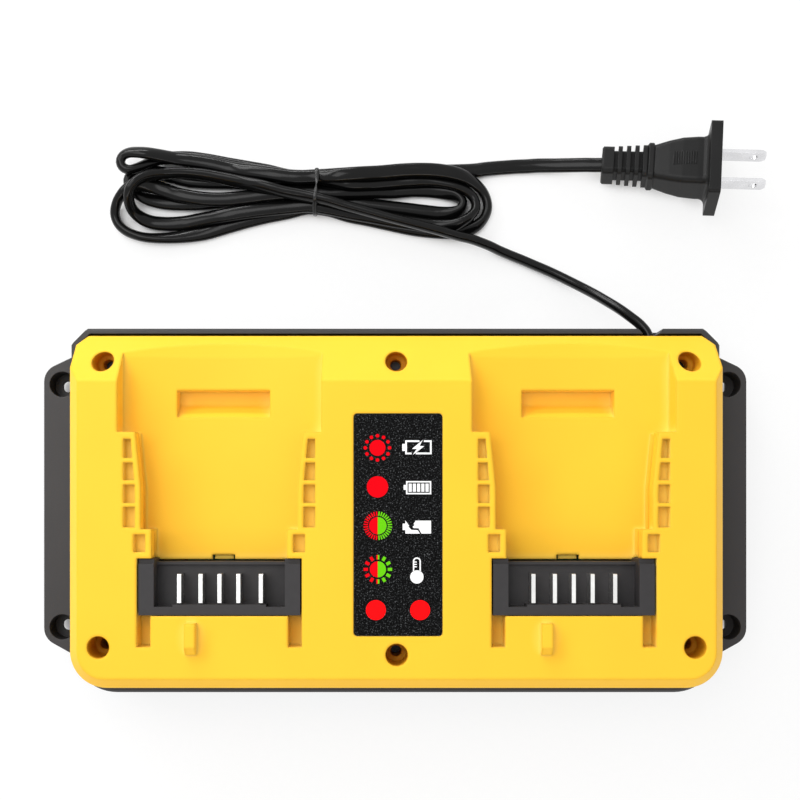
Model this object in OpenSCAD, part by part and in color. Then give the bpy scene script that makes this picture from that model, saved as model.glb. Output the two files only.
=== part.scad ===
// Dual-bay charger for slide-on tool batteries, with its mains cord and plug, in millimetres.
// X runs across the two bays, +Y points to the cord side, +Z is up.
// The origin is the middle of the charger's footprint on the surface that its feet stand on.

/* [Top shell] */
// Height of the flat top above the surface
top_z = 52; // [51:0.5:54]
// Half width of the shell
shell_half_w = 123.9; // [123:0.1:124.2]
// Front edge of the shell
shell_front = -67.4; // [-67.8:0.1:-66.8]
// Back edge of the shell
shell_back = 68.2; // [67.5:0.1:68.6]
// Where the flat top turns down into the back slope
slope_start = 48.6; // [46:0.2:50]
// Angle of the back slope below the horizontal
slope_angle = 46.5; // [44:0.5:49]
// Radius of the front corners, seen from above
corner_r = 14; // [10:0.5:18]
// Cut across the back corners, seen from above
corner_cut = 4; // [2:0.5:6]
// Width of the bevel along the front and side edges
bevel_w = 4; // [2:0.5:5]
// Height of that bevel
bevel_h = 6; // [4:0.5:7]
// Wall of the moulding
wall = 2.5; // [2:0.1:2.8]

/* [Battery bays] */
// Distance from the middle of the charger to the middle of a bay
bay_x = 66.6; // [66:0.1:68]
// Half width of the bay behind the rails
bay_half_w = 38.3; // [37.5:0.1:38.6]
// Lowest line of the bay's dished floor
bay_floor_z = 36.2; // [35.5:0.1:37]
// Radius of the dished floor
bay_floor_r = 230; // [200:5:300]
// Rear end of the rails
rail_back = 29.5; // [28:0.5:31]
// Front end of the bay, at the contacts
bay_front = -18; // [-18.4:0.1:-17.8]
// Height of the groove under the rails
groove_h = 6; // [5:0.5:6.5]
// Half width of the bay across the grooves
groove_half_w = 35.3; // [34:0.1:35.8]
// Thickness of a contact blade
contact_t = 1.5; // [1:0.1:1.6]

/* [Base tray] */
// Height of the rim
rim_z = 30; // [29:0.5:31]
// Half width of the tray without its lugs
base_half_w = 127.3; // [127:0.1:128]
// Distance from the middle to the tray's front and back walls
base_half_d = 71.4; // [71:0.1:72.2]
// Half width across the lugs
lug_half_w = 139.2; // [138:0.1:141]
// Height of the lugs' upper face
lug_z = 24.5; // [22:0.5:26]
// Distance between wall-mount holes across the charger
mount_pitch_x = 264; // [262:0.5:265]
// Distance between wall-mount holes along a lug
mount_pitch_y = 96.2; // [92:0.1:97]
// Diameter of the wall-mount holes
mount_hole_d = 4.5; // [4:0.1:5.5]
// Height of the rubber feet
foot_h = 2.5; // [2:0.1:3]

/* [Cord and plug] */
// Width of the flat cord
cord_w = 6; // [5.6:0.1:6.4]
// Thickness of the flat cord
cord_t = 4; // [3.6:0.1:4.2]
// Distance between the plug's blades
plug_pitch = 12.7; // [12.6:0.1:12.8]
// Length of the plug's blades
plug_blade_l = 18.3; // [16:0.1:18.3]

/* [Hidden] */
$fn = 64;

YELLOW = [1, 0.78, 0.2];
BLACK = [0.16, 0.16, 0.17];
DARK_GREY = [0.26, 0.26, 0.27];
METAL = [0.8, 0.8, 0.82];
RED = [0.9, 0.05, 0.08];
SIDES = ["left", "right"];
ENDS = ["front", "back"];

gap = 1.1;                    // between the shell's skirt and the tray's rim
skirt_z = 26;                 // lower edge of the shell's skirt
through = 1;                  // how far a cut runs past the face it opens
bevel_turn = atan(bevel_h / bevel_w);

screw_x = 112;
screw_rear_y = 56.8;
screw_front_y = -51.4;
screw_middle_y = -54.2;
screw_places = [
    [-screw_x, screw_front_y], [0, screw_middle_y], [screw_x, screw_front_y],
    [-screw_x, screw_rear_y], [0, screw_rear_y], [screw_x, screw_rear_y]
];
screw_bore_d = 4.3;
screw_shaft_d = 3.9;
screw_pilot_d = 4;
screw_tip_z = 26;
sink_d = 8.3;                 // the wide upper part of each screw hole
sink_front_z = 37.7;
sink_rear_z = 32;
post_d = 9;
post_wide_d = 12.3;
post_joint_z = 22;            // where a post of the shell stands on a post of the tray

label_x = 0.5;
label_y = -5.4;
label_w = 33.2;
label_l = 83.4;
label_t = 0.5;
window_y = -37.4;
window_pitch = 16.6;
window_d = 7.6;

floor_t = 2.5;
base_floor_z = foot_h + floor_t;
base_corner_r = corner_r + 4;
base_corner_cut = 6.5;
rim_bevel = 1;

// ---- shared shapes ----

function turn(i) = i == 0 ? -1 : 1;
function bay_middle(i) = turn(i) * bay_x;
function arc(centre, r, from, to, steps) =
    [for (i = [0:steps]) centre + r * [cos(from + (to - from) * i / steps), sin(from + (to - from) * i / steps)]];

// A straight round rod between two points.
module rod(from, to, r) {
    run = to - from;
    translate(from)
        rotate([0, acos(run[2] / norm(run)), atan2(run[1], run[0])])
            cylinder(r = r, h = norm(run));
}

// A block centred on x and y, standing on z.
module block(centre, size) {
    translate([centre[0] - size[0] / 2, centre[1] - size[1] / 2, centre[2]]) cube(size);
}

module rounded_square(w, h, r) {
    square([w - 2 * r, h], center = true);
    square([w, h - 2 * r], center = true);
    for (x = [-1, 1], y = [-1, 1])
        translate([x * (w / 2 - r), y * (h / 2 - r)]) circle(r);
}

// Prism of a profile drawn in Y and Z, from x0 to x1.
module across_x(x0, x1, profile) {
    translate([x0, 0, 0]) rotate([90, 0, 90]) linear_extrude(x1 - x0) polygon(profile);
}

// Prism of a profile drawn in X and Z, from y0 to y1.
module along_y(y0, y1, profile) {
    translate([0, y1, 0]) rotate([90, 0, 0]) linear_extrude(y1 - y0) polygon(profile);
}

// Casing shape: round front corners, cut back corners, bevelled edges, sloping back.
module casing(half_w, front, back, low, high, r, cut, bw, bh, slope_y, slope) {
    inner_x = half_w - r;
    inner_y = front + r;
    drop = (back - slope_y) * tan(slope);
    side_profile = [
        [-half_w, low], [-half_w, high - bh], [-half_w + bw, high],
        [half_w - bw, high], [half_w, high - bh], [half_w, low]
    ];
    end_profile = [
        [front, low], [front, high - bh], [front + bw, high],
        [slope_y, high], [back, high - drop], [back, low]
    ];
    across_x(-inner_x, inner_x, end_profile);
    intersection() {
        along_y(inner_y, back, side_profile);
        across_x(-half_w, half_w, end_profile);
        translate([0, 0, low]) linear_extrude(high - low) polygon([
            [-half_w, inner_y], [half_w, inner_y], [half_w, back - cut],
            [half_w - cut, back], [-half_w + cut, back], [-half_w, back - cut]
        ]);
    }
    for (x = [-inner_x, inner_x])
        translate([x, inner_y, low]) {
            cylinder(r = r, h = high - bh - low);
            translate([0, 0, high - bh - low]) cylinder(r1 = r, r2 = r - bw, h = bh);
        }
}

// The shell's outer form with t taken off all round, down to the given height.
module shell_form(t, low) {
    bw = bevel_w - t + t * tan(bevel_turn / 2);
    casing(
        shell_half_w - t, shell_front + t, shell_back - t, low, top_z - t,
        corner_r - t, corner_cut - t * (2 - sqrt(2)), bw, bw * tan(bevel_turn),
        slope_start - t * tan(slope_angle / 2), slope_angle
    );
}

// ---- battery bay ----

rail_edge_back = 31.5;        // half width between the rails at their back end
rail_edge = 29.5;             // and along their straight part
rail_taper_y = 8.6;
stop_y = -7.1;                // where the front stops step in
stop_edge = 25.5;
pocket_outer = 36;
pocket_edge_back = 33.2;
pocket_edge = 31.6;
pocket_depth = 5.2;
pocket_rows = [[26.9, 19.7], [18, 11.3], [9.7, 2.8], [1.35, -6.4]];
stop_pocket = [[27.7, -15.7], [32.2, -9]];
latch_half_w = 17.9;
latch_back = 46.4;
latch_floor_front = 41.2;
latch_front = 36;
latch_depth = 6.6;
lip_y = 59;                   // where the floor rolls down to the back slope
lip_angle = 10;
opening_half_w = 31;
opening_front = -39.7;
leg_inner = 25.8;
leg_front = -51.4;
leg_depth = 10;
notch_half_w = 4.4;
notch_d = 1.7;
tab_half_w = 3.6;             // ledge in the notch, below the floor
tab_drop = 1.6;
floor_front = bay_front - 0.8; // front edge of the floor, ahead of the rails' ends
nub_x = -10.5;
nub_w = 4.2;
nub_h = 4.5;
nub_back = -42.2;
nub_front = -54.1;
nub_ramp = 2.8;
groove_floor_z = bay_floor_z + 2.8;

function pocket_edge_at(y) =
    y > rail_taper_y
        ? pocket_edge + (pocket_edge_back - pocket_edge) * (y - rail_taper_y) / (pocket_rows[0][0] - rail_taper_y)
        : pocket_edge;

// Everything above the dished floor, whose radius and lowest line are given, between two y.
module above_dish(r, low_z, y0, y1) {
    translate([0, y1, low_z + r]) rotate([90, 0, 0]) cylinder(r = r, h = y1 - y0, $fn = 200);
}

module bay_outline() {
    polygon([
        [-bay_half_w, shell_back + through], [-bay_half_w, rail_back], [-rail_edge_back, rail_back],
        [-rail_edge, rail_taper_y], [-rail_edge, stop_y], [-stop_edge, stop_y], [-stop_edge, floor_front],
        [stop_edge, floor_front], [stop_edge, stop_y], [rail_edge, stop_y], [rail_edge, rail_taper_y],
        [rail_edge_back, rail_back], [bay_half_w, rail_back], [bay_half_w, shell_back + through]
    ]);
}

// Solid that carries one bay under the roof, before the bay is cut out of it.
module bay_tub() {
    reach = bay_half_w + wall;
    intersection() {
        block([0, (shell_back + floor_front) / 2, 30], [2 * reach, shell_back - floor_front, top_z - 30]);
        above_dish(bay_floor_r + wall, bay_floor_z - wall, floor_front, shell_back);
    }
    block(
        [0, (latch_back + latch_front) / 2, bay_floor_z - latch_depth - wall],
        [2 * (latch_half_w + wall), latch_back - latch_front + 2 * wall, latch_depth + wall + 1]
    );
    block([0, (bay_front + opening_front) / 2 - wall / 2, top_z - 12],
        [2 * (opening_half_w + wall), bay_front - opening_front + wall, 12 - wall / 2]);
    for (s = [-1, 1])
        block([s * (leg_inner + opening_half_w) / 2, (opening_front + leg_front - wall) / 2, top_z - leg_depth - wall],
            [opening_half_w - leg_inner + 2 * wall, opening_front - leg_front + wall, leg_depth + wall / 2]);
}

module bay_cut() {
    tall = top_z + through - 30;
    intersection() {
        translate([0, 0, 30]) linear_extrude(tall) bay_outline();
        above_dish(bay_floor_r, bay_floor_z, floor_front - through, shell_back + through);
    }
    intersection() {
        block([0, (rail_back + bay_front) / 2, groove_floor_z], [2 * groove_half_w, rail_back - bay_front, groove_h]);
        above_dish(bay_floor_r, bay_floor_z, bay_front, rail_back);
    }
    intersection() {
        block([0, (lip_y + shell_back) / 2 + through, 30], [2 * bay_half_w, shell_back - lip_y + 2 * through, tall]);
        translate([0, lip_y, bay_floor_z]) rotate([-lip_angle, 0, 0])
            above_dish(bay_floor_r, 0, -5, 20);
    }
    across_x(-latch_half_w, latch_half_w, [
        [latch_back, bay_floor_z + 5], [latch_back, bay_floor_z - latch_depth],
        [latch_floor_front, bay_floor_z - latch_depth], [latch_front, bay_floor_z],
        [latch_front, bay_floor_z + 5]
    ]);
    block([0, (floor_front + opening_front) / 2, 25], [2 * opening_half_w, floor_front - opening_front, 40]);
    for (s = [-1, 1])
        block([s * (stop_edge + opening_half_w) / 2, (bay_front + floor_front) / 2, 25],
            [opening_half_w - stop_edge, bay_front - floor_front + 0.02, 40]);
    block([0, floor_front + notch_d / 2, bay_floor_z - tab_drop], [2 * notch_half_w, notch_d, 10]);
    for (s = [-1, 1])
        block([s * (tab_half_w + notch_half_w) / 2, floor_front + notch_d / 2, 30],
            [notch_half_w - tab_half_w, notch_d, 10]);
    for (s = [-1, 1]) {
        block([s * (leg_inner + opening_half_w) / 2, (opening_front + leg_front) / 2, top_z - leg_depth],
            [opening_half_w - leg_inner, opening_front - leg_front + 0.02, leg_depth + through]);
        translate([0, 0, top_z - pocket_depth]) linear_extrude(pocket_depth + through) {
            for (row = pocket_rows)
                polygon([
                    [s * pocket_outer, row[0]], [s * pocket_outer, row[1]],
                    [s * pocket_edge_at(row[1]), row[1]], [s * pocket_edge_at(row[0]), row[0]]
                ]);
            polygon([
                [s * stop_pocket[0][0], stop_pocket[0][1]], [s * stop_pocket[1][0], stop_pocket[0][1]],
                [s * stop_pocket[1][0], stop_pocket[1][1]], [s * stop_pocket[0][0], stop_pocket[1][1]]
            ]);
        }
    }
}

// Keying rib in front of the contacts, with a ramp at its front end.
module nub() {
    across_x(nub_x - nub_w / 2, nub_x + nub_w / 2, [
        [nub_back, top_z - 1], [nub_back, top_z + nub_h], [nub_front + nub_ramp, top_z + nub_h],
        [nub_front, top_z + nub_h / 3], [nub_front, top_z - 1]
    ]);
}

// ---- housing ----

module screw_post(place) {
    sink_z = place[1] > 0 ? sink_rear_z : sink_front_z;
    translate([place[0], place[1], post_joint_z]) cylinder(d = post_d, h = top_z - post_joint_z);
    translate([place[0], place[1], sink_z - wall]) cylinder(d = post_wide_d, h = top_z - sink_z + wall);
}

module screw_hole(place) {
    sink_z = place[1] > 0 ? sink_rear_z : sink_front_z;
    translate([place[0], place[1], post_joint_z - through]) cylinder(d = screw_pilot_d, h = top_z - post_joint_z);
    translate([place[0], place[1], screw_tip_z + 1]) cylinder(d = screw_bore_d, h = top_z - screw_tip_z);
    translate([place[0], place[1], sink_z]) cylinder(d = sink_d, h = top_z - sink_z + through);
}

module top_shell() {
    color(YELLOW) {
        difference() {
            union() {
                difference() {
                    shell_form(0, skirt_z);
                    shell_form(wall, skirt_z - through);
                }
                intersection() {
                    shell_form(0, post_joint_z);
                    union() {
                        for (i = [0, 1]) translate([bay_middle(i), 0, 0]) bay_tub();
                        for (place = screw_places) screw_post(place);
                        for (y = [window_y + 9, window_y - 9])
                            translate([label_x, y, top_z - 6.3]) cylinder(d = 4.5, h = 6);
                    }
                }
            }
            for (i = [0, 1]) translate([bay_middle(i), 0, 0]) bay_cut();
            for (place = screw_places) screw_hole(place);
            translate([label_x, label_y, top_z - label_t]) linear_extrude(label_t + through)
                rounded_square(label_w + 0.4, label_l + 0.4, 1.5);
            for (s = [-1, 1])
                translate([label_x + s * window_pitch / 2, window_y, top_z - 2 * wall]) cylinder(d = window_d, h = 2 * wall);
        }
        for (i = [0, 1]) translate([bay_middle(i), 0, 0]) nub();
    }
}

lug_back = 61.3;
lug_front = -57.6;
lug_corner_r = 7;
sink_mount_d = 10;
sink_mount_depth = 10;
mount_middle_y = 1.9;
core_w = 9.2;                 // hollow under each mount hole
core_l = 9;
seat_t = 2;
mount_places = [for (x = [-1, 1], y = [-1, 1]) [x * mount_pitch_x / 2, mount_middle_y + y * mount_pitch_y / 2]];

module lug_outline() {
    corner_x = lug_half_w - lug_corner_r;
    for (s = [0, 1]) mirror([s, 0])
        polygon(concat(
            [[base_half_w - 4, lug_front - 2.2], [base_half_w - 0.5, lug_front]],
            arc([corner_x, -46.6], lug_corner_r, -62, 0, 6),
            arc([corner_x, 51], lug_corner_r, 0, 62, 6),
            [[base_half_w - 0.5, lug_back], [base_half_w - 4, lug_back + 2.2]]
        ));
}

notch_x = 100.2;
notch_half_w_in = 3.1;
notch_flare = 2.7;
gland_x = 101;                // where the cord passes the notch, on its way to the hank
notch_z = 17.6;
cord_z = 22;
rib_t = 2;
rib_reach = 3.4;
rib_x = [-88, -40, 40, 80];
rib_y = [-28, 10];
feet_x = 96;
feet_y = 48;
foot_r = 6;
board_z = 9;
board_t = 1.6;
board_half_w = 84;
board_half_d = 46;
standoff_x = 78;
standoff_y = 40;
standoff_places = [for (x = [-1, 1], y = [-1, 1]) [x * standoff_x, y * standoff_y]];
clamp_y = 47;
clamp_pitch = 13;
clamp_post_d = 5;
cord_top_z = cord_z + cord_t / 2;

module tray() {
    difference() {
        casing(
            base_half_w, -base_half_d, base_half_d, foot_h, rim_z, base_corner_r, base_corner_cut,
            rim_bevel, rim_bevel, base_half_d - rim_bevel, 45
        );
        casing(
            shell_half_w + gap, shell_front - gap, shell_back + gap, base_floor_z, rim_z + through,
            corner_r + gap, corner_cut + gap, 0.01, 0.01, shell_back, 1
        );
    }
}

module base_shell() {
    color(DARK_GREY) difference() {
        union() {
            tray();
            translate([0, 0, foot_h]) linear_extrude(lug_z - foot_h) lug_outline();
            for (place = screw_places)
                translate([place[0], place[1], foot_h]) {
                    cylinder(d = post_d, h = post_joint_z - foot_h);
                    cylinder(d = post_wide_d, h = 7.5);
                }
            for (x = rib_x, s = [-1, 1])
                block([x, s < 0 ? shell_front + rib_reach / 2 - gap : shell_back - rib_reach / 2 + gap, base_floor_z - 1],
                    [rib_t, rib_reach, skirt_z - base_floor_z + 1]);
            for (y = rib_y, s = [-1, 1])
                block([s * (shell_half_w - rib_reach / 2 + gap), y, base_floor_z - 1],
                    [rib_reach, rib_t, skirt_z - base_floor_z + 1]);
            for (place = standoff_places)
                translate([place[0], place[1], foot_h]) cylinder(d = 7, h = board_z - foot_h);
            for (s = [-1, 1])
                translate([notch_x + s * clamp_pitch / 2, clamp_y, foot_h]) cylinder(d = clamp_post_d, h = cord_top_z - foot_h);
            block([notch_x, clamp_y, foot_h], [7, 6, cord_z - cord_t / 2 - foot_h]);
        }
        for (place = mount_places)
            translate([place[0], place[1], 0]) {
                cylinder(d = mount_hole_d, h = lug_z + through);
                translate([0, 0, lug_z - sink_mount_depth]) cylinder(d = sink_mount_d, h = sink_mount_depth + through);
            }
        for (place = mount_places)
            block([sign(place[0]) * (base_half_w + core_w / 2), place[1], foot_h - through],
                [core_w, core_l, lug_z - sink_mount_depth - seat_t - foot_h + through]);
        for (place = screw_places)
            translate([place[0], place[1], 0]) {
                cylinder(d = 4.6, h = post_joint_z + through);
                cylinder(d = 8.5, h = 8);
            }
        for (x = [-1, 1], y = [-1, 1])
            translate([x * feet_x, y * feet_y, 0]) cylinder(r = foot_r, h = foot_h + 1);
        for (place = standoff_places)
            translate([place[0], place[1], base_floor_z - 1]) cylinder(d = 2.5, h = 10);
        for (s = [-1, 1])
            translate([notch_x + s * clamp_pitch / 2, clamp_y, cord_top_z - 9]) cylinder(d = 2.5, h = 10);
        translate([0, 0, notch_z]) linear_extrude(20) polygon([
            [notch_x - notch_half_w_in, shell_back - 3], [notch_x + notch_half_w_in, shell_back - 3],
            [notch_x + notch_half_w_in, shell_back + gap],
            [notch_x + notch_half_w_in + notch_flare, base_half_d + through],
            [notch_x - notch_half_w_in - notch_flare, base_half_d + through],
            [notch_x - notch_half_w_in, shell_back + gap]
        ]);
    }
}

module foot(x, y) {
    color(BLACK) translate([x, y, 0]) {
        cylinder(r1 = foot_r - 0.8, r2 = foot_r, h = 0.8);
        translate([0, 0, 0.8]) cylinder(r = foot_r, h = foot_h + 0.2);
    }
}

module screw(place, z, head_d, head_h, shaft_d, length) {
    translate([place[0], place[1], z]) {
        difference() {
            cylinder(d = head_d, h = head_h);
            for (a = [0, 90]) rotate(a) block([0, 0, -1], [head_d * 0.55, 1, 1 + head_h * 0.5]);
        }
        translate([0, 0, head_h]) cylinder(d = shaft_d, h = length);
    }
}

module housing_screws() {
    color(BLACK) for (place = screw_places) screw(place, 5, 7.5, 3, screw_shaft_d, screw_tip_z - 8);
}

module board_screws() {
    color(METAL) for (place = standoff_places)
        translate([0, 0, board_z + board_t + 2]) mirror([0, 0, 1]) screw(place, 0, 5.5, 2, 2.4, 6);
}

// ---- panel and lamps ----

module label_panel() {
    color(BLACK) difference() {
        translate([label_x, label_y, top_z - label_t]) linear_extrude(label_t - 0.05)
            rounded_square(label_w, label_l, 1.4);
        for (s = [-1, 1])
            translate([label_x + s * window_pitch / 2, window_y, top_z - 2]) cylinder(d = window_d, h = 4);
    }
}

window_base_z = 47.6;

module indicator_window(i) {
    color(RED) translate([label_x + turn(i) * window_pitch / 2, window_y, window_base_z])
        cylinder(d = window_d - 0.1, h = top_z - window_base_z);
}

module indicator_board() {
    color([0.1, 0.35, 0.2])
        block([label_x, window_y, top_z - 7.5], [30, 24, 1.2]);
}

module indicator_led(i) {
    color([0.95, 0.95, 0.9]) translate([label_x + turn(i) * window_pitch / 2, window_y, top_z - 6.3])
        cylinder(d = 4, h = window_base_z - top_z + 6.3);
}

// ---- contacts ----

block_half_w = 30.4;
block_low_z = 31;
block_high_z = 51.5;
pillar_inner = 24.6;
pillar_back = -20;
block_wall_y = -35.4;
block_wall_half_w = 17.6;
block_wall_y_out = -36.3;
block_front = -39.4;
block_floor_z = 42;
block_lip_h = 1.5;
block_rear = -19.5;           // rear face of the block between its pillars
contact_x = [-15.15, -7.1, 0, 7.1, 15.55];
contact_back = -23.9;
contact_front = -35.3;
contact_top_z = 51;
contact_cut = 0.5;            // chamfer at a blade's corners

module terminal_block(i) {
    color(DARK_GREY) translate([bay_middle(i), 0, 0]) difference() {
        union() {
            block([0, (bay_front + block_front) / 2 - 0.1, block_low_z],
                [2 * block_half_w, bay_front - block_front - 0.2, block_high_z - block_low_z]);
            block([0, block_front + 1, block_low_z], [2 * block_half_w + 7, 5, 6]);
        }
        // contact chamber, open to the back
        block([0, (bay_front + block_wall_y_out) / 2, block_floor_z],
            [2 * pillar_inner, bay_front - block_wall_y_out, 20]);
        for (s = [-1, 1])
            block([s * 27.5, pillar_back + 1.1, block_high_z - 1], [7, 2.3, 2]);
        block([0, block_rear + 1, block_low_z - 1], [2 * pillar_inner, 2, 30]);
        for (x = contact_x)
            block([x, (contact_back + contact_front) / 2, block_low_z - 1],
                [contact_t, contact_back - contact_front, block_floor_z - block_low_z + 2]);
        // hollow underside
        block([0, bay_front - 2.4 - 8.6, block_low_z - 1], [2 * block_half_w - 4, 16, 4]);
    }
    // thicker middle of the chamber's front wall, and the low lip at its back
    color(DARK_GREY) translate([bay_middle(i), 0, 0]) {
        block([0, (block_wall_y + block_wall_y_out) / 2, block_floor_z],
            [2 * block_wall_half_w, block_wall_y - block_wall_y_out, block_high_z - block_floor_z]);
        block([0, block_rear - 0.6, block_floor_z], [2 * pillar_inner, 1.2, block_lip_h]);
    }
}

module terminal_blade(i, n) {
    color(METAL) translate([bay_middle(i) + contact_x[n] - contact_t / 2, 0, 0])
        across_x(0, contact_t, [
            [contact_front, block_low_z + 1], [contact_front, contact_top_z - contact_cut],
            [contact_front + contact_cut, contact_top_z], [contact_back - contact_cut, contact_top_z],
            [contact_back, contact_top_z - contact_cut], [contact_back, block_low_z + 1]
        ]);
}

module terminal_wires(i) {
    color(RED) for (x = contact_x)
        translate([bay_middle(i) + x, (contact_back + contact_front) / 2, board_z + board_t])
            cylinder(d = 2, h = block_low_z + 1 - board_z - board_t);
}

// ---- electronics ----

deck_z = board_z + board_t;
core_at = [10, 16];
core_size = [36, 12, 28];
core_leg = 12;
core_window = [6, 18];

module main_board() {
    color([0.1, 0.35, 0.2]) difference() {
        block([0, 0, board_z], [2 * board_half_w, 2 * board_half_d, board_t]);
        for (place = standoff_places)
            translate([place[0], place[1], board_z - 1]) cylinder(d = 3, h = 4);
    }
}

module transformer_core() {
    color(DARK_GREY) difference() {
        block([core_at[0], core_at[1], deck_z], core_size);
        for (s = [-1, 1])
            block([core_at[0] + s * (core_leg + core_window[0]) / 2, core_at[1], deck_z + 5],
                [core_window[0], core_size[1] + 2, core_window[1]]);
    }
}

module transformer_coil() {
    color([0.85, 0.65, 0.15]) difference() {
        block([core_at[0], core_at[1], deck_z + 5.2], [core_leg + 2 * core_window[0] - 0.6, 26, core_window[1] - 0.4]);
        block([core_at[0], core_at[1], deck_z], [core_leg + 0.2, core_size[1] + 0.2, 30]);
    }
}

module line_choke() {
    color([0.7, 0.35, 0.15]) translate([58, 24, deck_z + 5]) rotate_extrude() translate([9, 0]) circle(r = 5, $fn = 24);
}

module standing_can(x, y, d, h, tint) {
    color(tint) translate([x, y, deck_z]) {
        cylinder(d = d, h = h - 1);
        translate([0, 0, h - 1]) cylinder(d1 = d, d2 = d - 2, h = 1);
    }
}

module heat_sink(i) {
    color(METAL) for (f = [0:5])
        block([turn(i) * 52, 2 + f * 4, deck_z], [26, 1.6, 17]);
    color(METAL) block([turn(i) * 52, -1, deck_z], [26, 5, 17]);
}

module power_transistors() {
    color(BLACK) for (i = [0, 1], s = [-1, 1])
        block([turn(i) * 52 + s * 7, -5.75, deck_z], [10, 4.5, 15]);
}

module bridge_rectifier() {
    color(BLACK) block([-14, -6, deck_z], [19, 3.5, 10]);
}

module fuse() {
    color([0.75, 0.78, 0.8]) {
        rod([60, 41, deck_z + 3.5], [76, 41, deck_z + 3.5], 2.5);
        for (x = [61.5, 73.5]) block([x, 41, deck_z], [2.4, 4.2, 3]);
    }
}

module mains_connector() {
    color([0.95, 0.95, 0.92]) block([80, 30, deck_z], [7, 10, 8]);
}

module mains_wires() {
    for (s = [-1, 1])
        color(s < 0 ? [0.45, 0.28, 0.15] : [0.2, 0.35, 0.7])
            rod([notch_x + 1.5 * s, clamp_y - 6, cord_z], [81, 30 - 2.5 * s, deck_z + 8], 1.1);
}

// ---- cord ----

gland_reach = 3.2;            // how far the gland's ears run past the notch on each side

// Sleeve behind the notch: its ears bear on the tray's wall, and the shell's edge covers it.
module cord_gland() {
    gland_back = shell_back - 2.8;
    color(BLACK) difference() {
        union() {
            block([notch_x, (gland_back + shell_back) / 2, notch_z],
                [2 * (notch_half_w_in + gland_reach), shell_back - gland_back, skirt_z - notch_z - 0.1]);
            for (s = [-1, 1])
                block([notch_x + s * (notch_half_w_in + gland_reach - 1), shell_back + gap / 2 - 0.5, notch_z],
                    [2, gap + 1, skirt_z - notch_z - 0.1]);
        }
        along_y(shell_back - 8, base_half_d + 4, [
            for (a = [0:30:330]) [gland_x + (cord_t / 2 + 0.3) * cos(a), cord_z + (cord_w / 2 + 0.3) * sin(a)]
        ]);
    }
}

module cord_clamp() {
    color(BLACK) difference() {
        block([notch_x, clamp_y, cord_top_z], [clamp_pitch + 6, 6, 2.6]);
        for (s = [-1, 1])
            translate([notch_x + s * clamp_pitch / 2, clamp_y, cord_top_z - 1]) cylinder(d = 2.9, h = 5);
    }
}

module clamp_screws() {
    color(METAL) for (s = [-1, 1])
        translate([0, 0, cord_top_z + 4.6]) mirror([0, 0, 1])
            screw([notch_x + s * clamp_pitch / 2, clamp_y], 0, 5, 2, 2.4, 9);
}

// Points of the cord's route from inside the tray to the hank, with the turn of its wide side, in degrees.
lead_route = [
    [100.2, 41, 22, 0], [100.2, 50, 22, 0], [100.3, 56, 22, 35], [100.8, 62, 22, 75], [101.1, 66.6, 22, 90],
    [100.5, 70.4, 21.7, 90], [98, 74.1, 20.6, 90], [94.3, 77.7, 18.6, 90], [90.1, 81.5, 15.8, 90], [85.8, 85, 12.6, 90],
    [81.5, 88.3, 9.6, 90], [76.9, 91.4, 7, 90], [72.3, 94.2, 5.1, 90], [67.6, 96.8, 4, 90],
    [62.7, 99.2, 3.4, 90], [57.7, 101.4, 3.1, 90], [52.8, 103.5, 3.1, 90], [47.8, 105.5, 3.1, 90],
    [42.9, 107.4, 3.7, 90], [38.5, 109, 5.2, 90], [34.8, 110.3, 7.4, 90], [31, 111.7, 9.6, 90]
];
// And from the hank to the plug.
tail_route = [
    [26.8, 140.4, 2, 0], [33.1, 140.7, 2, 0], [37.9, 141.3, 2, 0], [42.1, 141.7, 2, 0],
    [46.3, 142, 2, 0], [50.4, 142.3, 2, 0], [54.6, 142.4, 2.2, 0], [58.7, 142.6, 2.5, 0],
    [62.7, 142.5, 3.1, 0], [66.7, 142.3, 3.9, 0], [70.7, 142.1, 4.9, 0], [74.7, 141.9, 5.9, 0],
    [78.6, 141.7, 6.9, 0], [82.6, 141.4, 7.8, 0], [84.7, 141.3, 8.3, 0]
];

function place(route, i) = [route[i][0], route[i][1], route[i][2]];
function direction(route, i) =
    let (a = place(route, max(0, i - 1)), b = place(route, min(len(route) - 1, i + 1))) (b - a) / norm(b - a);

// One closed tube along a route, flat and eight-sided.
module flat_tube(route) {
    sides = 8;
    rings = [for (i = [0:len(route) - 1])
        let (
            d = direction(route, i), level = [-d[1], d[0], 0] / norm([d[0], d[1]]), up = cross(d, level),
            wide = level * cos(route[i][3]) + up * sin(route[i][3]), thin = cross(d, wide)
        )
        for (k = [0:sides - 1])
            place(route, i) + wide * (cord_w / 2 * cos(360 * (k + 0.5) / sides)) / cos(180 / sides)
                + thin * (cord_t / 2 * sin(360 * (k + 0.5) / sides)) / cos(180 / sides)];
    count = len(route);
    polyhedron(rings, concat(
        [[for (k = [sides - 1:-1:0]) k]],
        [for (i = [0:count - 2], k = [0:sides - 1])
            [i * sides + k, i * sides + (k + 1) % sides, (i + 1) * sides + (k + 1) % sides, (i + 1) * sides + k]],
        [[for (k = [0:sides - 1]) (count - 1) * sides + k]]
    ));
}

hank_left = -116.4;
hank_right = 40;
hank_tie_x = -32.5;
hank_y = 131.3;
hank_left_y = 130;            // middle line at the far end of each lobe
hank_right_y = 126;
hank_h = 12.5;
hank_waist = 8.5;             // half width where the tie holds the strands
hank_bulge = 9.2;             // how much wider each lobe is, per side
hank_roundness = 7;

// How far x is along a lobe, from 0 at the tie to 1 at the lobe's end.
function along_lobe(x) = (x - hank_tie_x) / ((x < hank_tie_x ? hank_left : hank_right) - hank_tie_x);

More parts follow.
